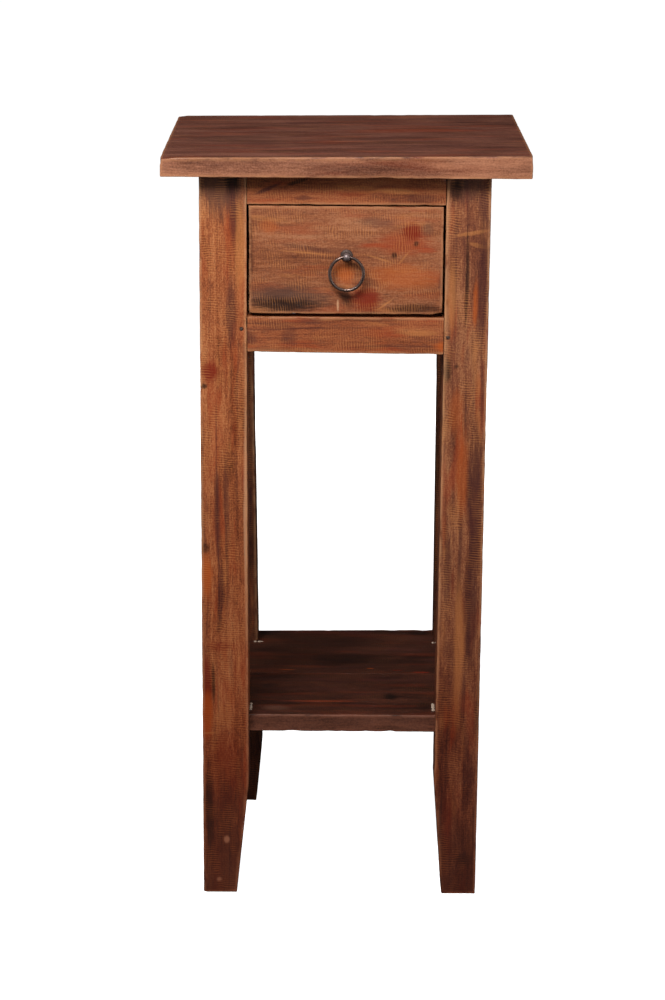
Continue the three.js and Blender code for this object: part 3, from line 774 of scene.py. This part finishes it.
def smooth_collar(node, finish, dome):
    """A turned plate round the stud: the rose is domed towards the front, the washer is flat."""
    low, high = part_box(node)
    centre = (low + high) / 2
    outer = (high.x - low.x) / 2
    bore = PLATE_BORE * MM
    thick = high.y - low.y
    front = [(low.y, bore), (low.y, outer * 0.62), (low.y + thick * 0.12 * dome, outer * 0.78),
             (low.y + thick * 0.38 * dome, outer * 0.93), (low.y + thick * (0.15 + 0.55 * dome), outer)]
    back = [(high.y - thick * 0.12, outer), (high.y, outer * 0.96), (high.y, bore), (low.y, bore)]
    piece = lathe(node + "_smooth", Y, centre, front + back, PLATE_ROUND)
    bm = bmesh.new()
    bm.from_mesh(piece.data)
    bmesh.ops.remove_doubles(bm, verts=bm.verts, dist=1e-7)
    bm.to_mesh(piece.data)
    bm.free()
    settle(piece, finish, node, 0.12)


def smooth_nut(finish):
    """A hexagonal nut with bevelled edges and a bore, turned so that two corners lie level."""
    low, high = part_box("pull_nut")
    centre = (low + high) / 2
    corner = (high.x - low.x) / 2
    bm = bmesh.new()
    bmesh.ops.create_cone(bm, cap_ends=True, segments=6, radius1=corner, radius2=corner,
                          depth=high.y - low.y)
    bmesh.ops.rotate(bm, verts=bm.verts, matrix=Matrix.Rotation(math.pi / 2, 3, "X"))
    bmesh.ops.translate(bm, verts=bm.verts, vec=centre)
    bmesh.ops.rotate(bm, verts=bm.verts, cent=centre, matrix=Matrix.Rotation(math.pi / 6, 3, "Y"))
    piece = stand("pull_nut_smooth", bm)
    drill(piece, Y, centre, PLATE_BORE * MM, low.y - MM, high.y + MM)
    settle(piece, finish, "pull_nut", 0.35)


def worn_metal(name, base, patina, metallic, roughness, shift):
    """Dark iron or dull steel with a patchy patina, rubbed high spots and a fine pitted skin."""
    t = Tree(name)
    place = t.millimetres()
    patch = t.noise(t.stretch(place, [3.2, 3.2, 3.2], shift), 4.0, 0.65)
    fine = t.noise(t.stretch(place, [0.5, 0.5, 0.5], shift + 3), 3.0, 0.6)
    colour = t.mix(t.remap(patch, 0.42, 0.66), srgb(*base), srgb(*patina))
    colour = t.mix(t.remap(fine, 0.35, 0.75, 0.0, 0.35), colour, srgb(150, 132, 120))
    t.surface("Base Color", colour)
    t.surface("Metallic", t.remap(patch, 0.4, 0.7, metallic, metallic * 0.6))
    t.surface("Roughness", t.remap(patch, 0.3, 0.7, roughness, roughness + 0.22))
    height = t.math("MULTIPLY_ADD", patch, 0.12, t.math("MULTIPLY", fine, 0.05))
    t.surface("Normal", t.bump(height))
    return t.material


# The glue beads in mm: how far they run from each leg's inner corner, and how far off its faces.
FRONT_BEAD = 18
BACK_BEAD = 7
BEAD_OFFSET = 1
BEAD_PITCH = 2.6
BEAD_SIZES = (0.8, 1.5)
BEAD_SWELL = 0.25


def glue_beads():
    """Beads of squeezed-out glue where the shelf meets the legs."""
    rng = random.Random(41)
    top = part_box("shelf_board_front")[1].z
    runs = []
    for node in ("leg_back_left", "leg_back_right", "leg_front_left", "leg_front_right"):
        low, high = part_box(node)
        left = node.endswith("left")
        inner_x = (high.x if left else low.x) / MM
        outward = -1 if left else 1
        if "front" in node:
            start = (inner_x - outward * BEAD_OFFSET, high.y / MM)
            end = (start[0], start[1] - FRONT_BEAD)
        else:
            start = (inner_x, low.y / MM - BEAD_OFFSET)
            end = (start[0] + outward * BACK_BEAD, start[1])
        runs.append((start, end))
    bm = bmesh.new()
    for (x0, y0), (x1, y1) in runs:
        count = max(2, round(math.hypot(x1 - x0, y1 - y0) / BEAD_PITCH))
        for step in range(count):
            share = (step + rng.uniform(-0.3, 0.3)) / max(1, count - 1)
            size = rng.uniform(*BEAD_SIZES) * MM
            centre = Vector(((x0 + (x1 - x0) * share) * MM, (y0 + (y1 - y0) * share) * MM, top))
            made = bmesh.ops.create_icosphere(bm, subdivisions=2, radius=size)["verts"]
            for vertex in made:
                swell = 1 + BEAD_SWELL * noise.noise(vertex.co * 900 + centre * 500)
                flattened = Vector((vertex.co.x * 1.3, vertex.co.y * 1.5, vertex.co.z * 0.55))
                vertex.co = flattened * swell + centre
    piece = stand("glue_beads", bm, smooth=True)
    t = Tree("dried_glue")
    patch = t.noise(t.stretch(t.millimetres(), [1.5, 1.5, 1.5]), 3.0)
    t.surface("Base Color", t.mix(patch, srgb(150, 120, 100), srgb(206, 190, 172)))
    t.surface("Roughness", t.remap(patch, 0.3, 0.7, 0.3, 0.5))
    t.surface("Normal", t.bump(t.math("MULTIPLY", patch, 0.1)))
    piece.data.materials.append(t.material)
    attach(piece, "frame")


# ---- the stained fronts

# How the legs darken towards the floor, partly stain and partly painted shade; the back feet also take
# painted shadow under the shelf.
FADE_HEIGHT = 520
FOOT_STAIN_AND_SHADE = (196, 163, 162)
BACK_FOOT_STAIN_AND_SHADOW = (120, 100, 96)

# Each mark: ink, place from the board's left side and from its lower edge (the front edge, on the top
# and the shelf) as shares of the board, half sizes the same two ways in mm, strength, and turn in
# degrees if it lies askew.
LEFT_LEG_MARKS = [
    # the dark head in painted shadow of the top, the streak down from it and the bright strip beside it
    ("grey", 0.4, 1.0, 32, 42, 0.85), ("pitch", 0.7, 1.0, 8, 20, 0.85),
    ("purple", 0.7, 0.95, 3, 32, 0.65), ("purple", 0.65, 0.82, 6, 36, 0.6),
    ("gold", 0.85, 0.9, 5, 45, 0.4),
    # the knot and the specks under it
    ("rust", 0.2, 0.74, 8, 12, 0.9), ("black", 0.1, 0.72, 3, 3, 0.8),
    # fine dark streaks down the middle, the dark edge and the pale inner edge
    ("purple", 0.35, 0.54, 3, 55, 0.6), ("purple", 0.55, 0.56, 3, 45, 0.55),
    ("purple", 0.4, 0.43, 3, 35, 0.6), ("purple", 0.05, 0.55, 2, 110, 0.5),
    ("pale", 0.95, 0.55, 2, 110, 0.5),
    # an orange patch with a dark tip, and rusty marks across the grain
    ("orange", 0.1, 0.46, 5, 26, 0.85), ("black", 0.1, 0.5, 4, 6, 0.6),
    ("rust", 0.45, 0.36, 14, 6, 0.5),
    # a black streak in rust, and an orange glow that ends at a pale cut
    ("rust", 0.1, 0.31, 6, 26, 0.8), ("black", 0.27, 0.31, 2, 22, 0.75),
    ("orange", 0.12, 0.26, 6, 24, 0.8), ("gold", 0.2, 0.235, 10, 1, 0.5),
    # the long dark streak, the red heart, and the foot darkened by stain and painted shade, with two pale
    # rubs
    ("black", 0.15, 0.12, 4, 48, 0.8), ("rust", 0.5, 0.18, 14, 45, 0.5),
    ("grey", 0.5, 0.0, 44, 120, 0.7), ("pale", 0.5, 0.08, 3, 4, 0.65),
    ("pale", 0.35, 0.02, 3, 3, 0.5),
]
RIGHT_LEG_MARKS = [
    # the dark head in painted shadow of the top and the two pale lines across it
    ("grey", 0.5, 1.0, 24, 26, 0.6), ("pitch", 0.25, 0.98, 6, 12, 0.7),
    ("purple", 0.85, 0.96, 6, 22, 0.65), ("gold", 0.55, 0.925, 18, 2, 0.4, 8),
    ("gold", 0.7, 0.91, 10, 2, 0.3, -15),
    # a fine black line between a bright strip and a shaded edge
    ("black", 0.5, 0.86, 2, 52, 0.8), ("gold", 0.2, 0.84, 5, 35, 0.4),
    ("orange", 0.7, 0.83, 3, 24, 0.6), ("purple", 0.85, 0.85, 6, 60, 0.7),
    # the blot beside the bottom rail and the glow under it
    ("pitch", 0.08, 0.745, 6, 13, 0.85), ("black", 0.33, 0.75, 3, 2, 0.6),
    ("orange", 0.35, 0.69, 8, 24, 0.35),
    # the bright middle and the dark bands on both sides of it
    ("orange", 0.5, 0.6, 6, 50, 0.45), ("purple", 0.8, 0.56, 8, 75, 0.8),
    ("purple", 0.75, 0.42, 8, 80, 0.7), ("purple", 0.22, 0.47, 5, 50, 0.6),
    ("gold", 0.48, 0.36, 5, 75, 0.5),
    # the dark edge, and the foot darkened by stain and painted shade
    ("black", 0.95, 0.27, 3, 32, 0.6), ("purple", 0.8, 0.17, 7, 35, 0.6),
    ("rust", 0.35, 0.1, 6, 40, 0.5), ("black", 0.7, 0.05, 8, 8, 0.6),
    ("grey", 0.5, 0.0, 44, 100, 0.6),
]
DRAWER_MARKS = [
    # the dark left edge, a glow above it and the shaded band towards the pull
    ("brown", 0.0, 0.55, 4, 38, 0.85), ("orange", 0.1, 0.8, 9, 8, 0.35),
    ("purple", 0.3, 0.62, 26, 3, 0.55, -8), ("gold", 0.3, 0.57, 26, 1, 0.4, -5),
    # the sooty band at the lower left and the grey cast along the top
    ("grey", 0.2, 0.15, 44, 12, 0.9), ("black", 0.2, 0.08, 38, 8, 0.9),
    ("grey", 0.65, 0.85, 26, 6, 0.5), ("grey", 0.92, 0.78, 6, 8, 0.45),
    # the knot, its red streaks and dark specks, and the pale lines that fan out below
    ("red", 0.8, 0.66, 30, 12, 0.6), ("rust", 0.84, 0.76, 10, 9, 0.95),
    ("red", 0.65, 0.64, 17, 3, 0.65), ("red", 0.92, 0.6, 11, 3, 0.6),
    ("black", 0.86, 0.66, 3, 3, 0.75), ("black", 0.75, 0.55, 3, 3, 0.8),
    ("gold", 0.68, 0.51, 15, 1, 0.35, -15), ("gold", 0.8, 0.53, 10, 1, 0.3, 50),
    # the bright middle and right
    ("orange", 0.5, 0.37, 10, 11, 0.65), ("orange", 0.8, 0.35, 36, 13, 0.45),
    # under the ring: a smudge, a pale crack and a red patch with a black foot
    ("black", 0.5, 0.17, 6, 11, 0.75, 35), ("pale", 0.46, 0.09, 1, 6, 0.6),
    ("purple", 0.62, 0.3, 10, 5, 0.4), ("rust", 0.6, 0.16, 15, 14, 0.9),
    ("black", 0.6, 0.0, 16, 3, 0.8),
    # the dark lower right corner under a pale line
    ("black", 0.85, 0.06, 24, 5, 0.65), ("gold", 0.7, 0.1, 9, 1, 0.45, 35),
    ("purple", 1.0, 0.3, 4, 16, 0.5),
]
TOP_RAIL_MARKS = [
    ("orange", 0.03, 0.3, 7, 9, 0.9), ("black", 0.05, 0.92, 8, 3, 0.8),
    ("purple", 0.18, 0.5, 14, 2, 0.75, 25), ("black", 0.3, 0.75, 10, 2, 0.7, 20),
    ("purple", 0.33, 0.2, 9, 3, 0.5), ("black", 0.58, 1.0, 14, 3, 0.7),
    ("gold", 0.7, 0.45, 20, 3, 0.4), ("purple", 0.8, 0.25, 20, 4, 0.5),
    ("black", 0.91, 0.78, 2, 2, 0.85), ("black", 0.92, 0.0, 8, 2, 0.7),
]
BOTTOM_RAIL_MARKS = [
    ("orange", 0.02, 0.4, 5, 11, 0.7), ("purple", 0.1, 0.45, 11, 8, 0.65),
    ("purple", 0.27, 0.5, 9, 10, 0.45), ("brown", 0.6, 0.95, 40, 2, 0.5),
    ("gold", 0.8, 0.55, 20, 3, 0.4), ("orange", 0.91, 0.2, 13, 6, 0.7),
    ("purple", 0.97, 0.7, 6, 6, 0.6),
]
SHELF_MARKS = [
    # the knot and the dark streak through it
    ("pitch", 0.7, 0.2, 8, 10, 0.95), ("black", 0.7, 0.2, 22, 4, 0.5),
    # the dark middle, corners and sides, partly stain and partly painted shade under the top and drawer
    ("black", 0.5, 0.63, 34, 10, 0.65), ("black", 0.18, 0.95, 14, 9, 0.8),
    ("black", 0.83, 0.95, 14, 9, 0.8), ("black", 0.2, 0.32, 14, 8, 0.6),
    ("black", 0.82, 0.65, 16, 7, 0.5), ("black", 0.83, 0.1, 8, 12, 0.6),
    ("grey", 0.23, 0.07, 14, 6, 0.6), ("red", 0.43, 0.15, 40, 3, 0.35),
    # bright slivers along the seam
    ("orange", 0.27, 0.5, 9, 1, 0.6), ("orange", 0.62, 0.52, 4, 1, 0.6),
    ("rust", 0.73, 0.5, 7, 1, 0.7), ("rust", 0.83, 0.48, 9, 2, 0.7),
]
TOP_MARKS = [
    ("grey", 0.2, 0.4, 50, 30, 0.35), ("purple", 0.4, 0.8, 40, 5, 0.45),
    ("grey", 0.53, 0.8, 30, 4, 0.4), ("red", 0.7, 0.6, 70, 12, 0.35),
    ("brown", 0.5, 0.5, 60, 8, 0.4), ("black", 0.88, 0.8, 30, 5, 0.35),
]

LEG_TONES = ((82, 36, 20), (154, 84, 49), (194, 126, 78))
RIGHT_LEG_TONES = ((66, 30, 24), (124, 70, 47), (170, 112, 74))
# Darker copies of the leg stain for the back legs: painted shade, as they stand behind the front ones.
SHADED_BACK_LEG_TONES = ((38, 19, 12), (92, 49, 31), (136, 80, 50))
RAIL_TONES = ((76, 34, 21), (142, 76, 46), (178, 108, 66))
DRAWER_TONES = ((84, 42, 27), (140, 82, 53), (176, 118, 82))
# The top's tones are greyed by a painted sheen over the stain.
TOP_STAIN_AND_SHEEN_TONES = ((62, 34, 27), (104, 62, 50), (136, 88, 72))
# Lighter tones for the top's upright edges: painted light.
TOP_LIT_SIDE_TONES = ((104, 58, 40), (182, 122, 90))
# The shelf is dark partly from stain and partly from painted shade under the top and drawer.
SHELF_STAIN_AND_SHADE_TONES = ((24, 12, 9), (54, 28, 20), (84, 44, 30))
# Lighter tones for the shelf's upright edges: painted light.
SHELF_LIT_SIDE_TONES = ((50, 27, 22), (120, 72, 54))
INNER_TONES = ((120, 82, 52), (168, 126, 84), (204, 166, 122))
PANEL_TONES = ((150, 112, 74), (190, 152, 106), (216, 184, 140))


def joined(first, second):
    """The box round two nodes."""
    low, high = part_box(first)
    other_low, other_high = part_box(second)
    return (Vector([min(pair) for pair in zip(low, other_low)]),
            Vector([max(pair) for pair in zip(high, other_high)]))


def leg_finish(node, shift, pith, tones, marks, streaks, shade):
    """The stain of a leg, which darkens towards the floor, partly as stain and partly as painted shade.
    """
    return stained_wood(node, Z, tones, shift, pith, marks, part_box(node), streaks=streaks,
                        fade=(0, FADE_HEIGHT, shade), wear=0.5, contrast=1.15, ripple=1.3,
                        worn_tone=(200, 146, 104))


def build_legs():
    """Four legs. The back left one has a chip out of its foot."""
    top_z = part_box("leg_front_left")[1].z
    chip = [((0.85, 0.95, 0), (12, 14, 16), 3.5)]
    legs = {
        "leg_front_left": (1.3, [-170, -100, 0], LEG_TONES, LEFT_LEG_MARKS, 0.5, FOOT_STAIN_AND_SHADE, ()),
        "leg_front_right": (5.1, [60, -90, 0], RIGHT_LEG_TONES, RIGHT_LEG_MARKS, 0.6, FOOT_STAIN_AND_SHADE, ()),
        # The back legs take painted shade: darker tones, and painted shadow under the shelf at their
        # feet.
        "leg_back_left": (8.7, [-90, 180, 0], SHADED_BACK_LEG_TONES, (), 0.9, BACK_FOOT_STAIN_AND_SHADOW, chip),
        "leg_back_right": (12.9, [150, 90, 0], SHADED_BACK_LEG_TONES, (), 0.8, BACK_FOOT_STAIN_AND_SHADOW, ()),
    }
    for node, (shift, pith, tones, marks, streaks, shade, knocks) in legs.items():
        finish = leg_finish(node, shift, pith, tones, marks, streaks, shade)
        worn_board(node, Z, finish, arris=1.7, ends=1.1, pitches=(7, 7, 5), tight=[(Z, top_z)],
                   knocks=knocks)


def build_top():
    """The two boards of the top: chipped corners, and a dent and two cracks in the front edge."""
    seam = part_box("top_board_back")[0].y
    area = joined("top_board_front", "top_board_back")
    knocks = {
        "top_board_front": [((0, 0, 1), (14, 12, 10), 2.2), ((0.1, 0, 0.5), (7, 5, 3), 0.8),
                            ((0.6, 0, 0), (13, 5, 2), 0.9), ((0.8, 0, 0.1), (12, 5, 2), 0.9),
                            ((1, 0, 1), (7, 7, 7), 1.2)],
        "top_board_back": [((0, 1, 1), (8, 8, 8), 1.2)],
    }
    for index, node in enumerate(knocks):
        pith = [0, 10 + 60 * index, 640]
        finish = stained_wood(node, X, TOP_STAIN_AND_SHEEN_TONES, 20.4 + 6 * index, pith, TOP_MARKS, area, Z,
                              streaks=0.3, reds=0.25, golds=0.1, stains=0.5, ripple=0.35, wear=0.55,
                              contrast=1.2, lit_side_tone=TOP_LIT_SIDE_TONES)
        worn_board(node, X, finish, arris=1.5, ends=1.4, pitches=(6, 6, 7), rough=0.55,
                   tight=[(Y, seam)], knocks=knocks[node])


def build_rails():
    """The rails above and below the drawer, and the aprons."""
    rails = {
        "front_top_rail": (TOP_RAIL_MARKS, 31.2, [0, -90, 640]),
        "front_bottom_rail": (BOTTOM_RAIL_MARKS, 34.8, [0, -160, 500]),
        "back_apron": ((), 38.1, [0, 170, 560]),
    }
    for node, (marks, shift, pith) in rails.items():
        finish = stained_wood(node, X, RAIL_TONES, shift, pith, marks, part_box(node), streaks=0.7)
        worn_board(node, X, finish, arris=0.9, ends=TIGHT_ARRIS, pitches=(5, 7, 6))
    for index, node in enumerate(("side_apron_left", "side_apron_right")):
        finish = stained_wood(node, Y, RAIL_TONES, 42.5 + 5 * index, [0, 0, 590], streaks=0.7)
        worn_board(node, Y, finish, arris=0.9, ends=TIGHT_ARRIS, pitches=(7, 6, 7))


def build_shelf():
    """The two boards of the shelf."""
    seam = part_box("shelf_board_back")[0].y
    area = joined("shelf_board_front", "shelf_board_back")
    for index, node in enumerate(("shelf_board_front", "shelf_board_back")):
        pith = [0, 40 - 90 * index, 120]
        finish = stained_wood(node, X, SHELF_STAIN_AND_SHADE_TONES, 52.2 + 4 * index, pith, SHELF_MARKS, area, Z,
                              streaks=0.3, reds=0.12, golds=0.0, stains=0.6, ripple=0.2, wear=0.6,
                              contrast=1.1, lit_side_tone=SHELF_LIT_SIDE_TONES, worn_tone=(128, 80, 62))
        worn_board(node, X, finish, arris=1.1, ends=0.5, pitches=(5, 5, 6), tight=[(Y, seam)])


def build_drawer_front():
    """The stained drawer front, chipped at its lower corners."""
    finish = stained_wood("drawer_front", X, DRAWER_TONES, 61.7, [30, -100, 560], DRAWER_MARKS,
                          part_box("drawer_front"), streaks=0.3, reds=0.3, stains=0.3, ripple=1.1,
                          contrast=0.9)
    chips = [((1, 0, 0), (9, 9, 4), 2.6), ((0, 0, 0), (4, 6, 4), 1.0)]
    worn_board("drawer_front", X, finish, arris=1.3, ends=1.2, pitches=(3.5, 6, 3.5), knocks=chips)


def build_inner_wood():
    """The bare wood inside: the drawer box, and the runners, guides, kickers and stops round it."""
    inner = {
        "drawer_side_left": (Y, 71.0, [0, 0, 560]), "drawer_side_right": (Y, 73.5, [0, 0, 820]),
        "drawer_back": (X, 76.1, [0, 60, 560]),
        "drawer_runner_left": (Y, 78.0, [-60, 0, 590]), "drawer_runner_right": (Y, 79.3, [60, 0, 590]),
        "drawer_guide_left": (Y, 81.0, [-70, 0, 650]), "drawer_guide_right": (Y, 82.6, [70, 0, 650]),
        "drawer_kicker_left": (Y, 84.0, [-70, 0, 700]), "drawer_kicker_right": (Y, 85.2, [70, 0, 700]),
        "drawer_stop_left": (Z, 87.0, [-70, 140, 0]), "drawer_stop_right": (Z, 88.4, [70, 140, 0]),
    }
    for node, (axis, shift, pith) in inner.items():
        finish = bare_wood(node, axis, INNER_TONES, shift, pith)
        worn_board(node, axis, finish, arris=0.7, ends=0.5, pitches=(9, 9, 9), rough=0.5)
    panel = bare_wood("drawer_bottom", X, PANEL_TONES, 91.0, [0, 0, 500])
    worn_board("drawer_bottom", X, panel, arris=0.3, ends=0.3, pitches=(9, 9, 2), rough=0.3)


def build_metal():
    """The ring pull, the nails and the screws."""
    iron = worn_metal("rubbed_iron", (104, 84, 78), (58, 42, 38), 0.9, 0.24, 2.0)
    dark_iron = worn_metal("dark_iron", (66, 48, 44), (44, 30, 27), 0.7, 0.5, 5.0)
    ball_iron = worn_metal("ball_iron", (134, 120, 120), (84, 68, 66), 0.8, 0.4, 7.0)
    steel = worn_metal("dull_steel", (150, 144, 138), (92, 78, 66), 0.95, 0.34, 9.0)
    nail = worn_metal("stained_nail", (70, 44, 32), (50, 28, 20), 0.5, 0.5, 14.0)
    smooth_ring(iron)
    smooth_stud(ball_iron)
    smooth_collar("pull_rose", dark_iron, 1.0)
    smooth_collar("pull_washer", steel, 0.0)
    smooth_nut(steel)
    for node in sorted(frame["nodes"]):
        if "_nail" in node:
            smooth_nail(node, nail)
        if "_screw" in node:
            smooth_screw(node, steel)


# ---- studio

CAMERA_PLACE = (-0.0085, -2.5973, 1.1196)
CAMERA_PITCH = 0.27657
CAMERA_YAW = -0.00101
CAMERA_ROLL = 0.00695
CAMERA_LENS = 93.49
FLOOR_SIZE = 30.0
# How bright the surround is, from its direction towards -Y to its direction towards +Y.
SURROUND_SPAN = (-0.6, 0.5)
SURROUND_STRENGTH = (0.78, 0.27)


def set_camera():
    """The camera stands in front of the table, looks down at it a little and shows plain colours."""
    data = bpy.data.cameras.new("camera")
    data.lens = CAMERA_LENS
    data.sensor_width = 36
    data.clip_end = 100
    forward = Vector((math.sin(CAMERA_YAW) * math.cos(CAMERA_PITCH),
                      math.cos(CAMERA_YAW) * math.cos(CAMERA_PITCH), -math.sin(CAMERA_PITCH)))
    right = Vector((math.cos(CAMERA_YAW), -math.sin(CAMERA_YAW), 0))
    up = right.cross(forward)
    rolled_right = right * math.cos(CAMERA_ROLL) + up * math.sin(CAMERA_ROLL)
    rolled_up = up * math.cos(CAMERA_ROLL) - right * math.sin(CAMERA_ROLL)
    turn = Matrix((rolled_right, rolled_up, -forward)).transposed()
    camera = bpy.data.objects.new("camera", data)
    camera.matrix_world = Matrix.Translation(CAMERA_PLACE) @ turn.to_4x4()
    bpy.context.scene.collection.objects.link(camera)
    bpy.context.scene.camera = camera
    bpy.context.scene.view_settings.view_transform = "Standard"


def softbox(name, place, aim, width, height, power, mirrored=True):
    """A rectangular studio light, which shows in the lacquer unless it isn't mirrored."""
    data = bpy.data.lights.new(name, "AREA")
    data.shape = "RECTANGLE"
    data.size = width
    data.size_y = height
    data.energy = power
    lamp = bpy.data.objects.new(name, data)
    lamp.visible_glossy = mirrored
    lamp.location = place
    lamp.rotation_euler = (Vector(aim) - Vector(place)).to_track_quat("-Z", "Y").to_euler()
    bpy.context.scene.collection.objects.link(lamp)


def set_floor():
    """A white floor that doesn't light the table or show in it."""
    bm = bmesh.new()
    bmesh.ops.create_grid(bm, x_segments=8, y_segments=8, size=FLOOR_SIZE)
    floor = stand("floor", bm)
    t = Tree("floor_white")
    t.surface("Base Color", (0.9, 0.9, 0.9, 1))
    t.surface("Roughness", 0.9)
    t.surface("Specular IOR Level", 0.0)
    t.surface("Emission Color", (1, 1, 1, 1))
    t.surface("Emission Strength", 1.0)
    floor.data.materials.append(t.material)
    floor.visible_diffuse = False
    floor.visible_glossy = False


def set_surround():
    """A soft white surround, brighter in front of the table than behind it."""
    world = bpy.data.worlds.new("surround")
    world.use_nodes = True
    nodes = world.node_tree.nodes
    links = world.node_tree.links
    direction = nodes.new("ShaderNodeSeparateXYZ")
    links.new(nodes.new("ShaderNodeTexCoord").outputs["Generated"], direction.inputs[0])
    spread = nodes.new("ShaderNodeMapRange")
    for socket, value in zip(list(spread.inputs)[1:5], SURROUND_SPAN + SURROUND_STRENGTH):
        socket.default_value = value
    links.new(direction.outputs[Y], spread.inputs[0])
    links.new(spread.outputs[0], nodes["Background"].inputs["Strength"])
    bpy.context.scene.world = world


def set_lights():
    """Softboxes in front, at both sides, behind and above."""
    softbox("key", (-0.4, -1.3, 1.85), (0, -0.1, 0.5), 1.0, 0.6, 43)
    softbox("fill", (1.4, -2.0, 1.2), (0, 0, 0.4), 1.0, 1.4, 11)
    for side in (-1, 1):
        softbox("side", (side * 1.7, -0.5, 0.45), (0, 0, 0.4), 0.8, 1.2, 5)
    softbox("rear", (0.2, 2.3, 0.45), (0, 0.1, 0.45), 1.4, 0.7, 16, mirrored=False)
    softbox("overhead", (0.0, 0.1, 2.5), (0, 0, 0.5), 1.4, 1.0, 3)


build_legs()
build_top()
build_rails()
build_shelf()
build_drawer_front()
build_inner_wood()
build_metal()
glue_beads()
set_camera()
set_floor()
set_surround()
set_lights()
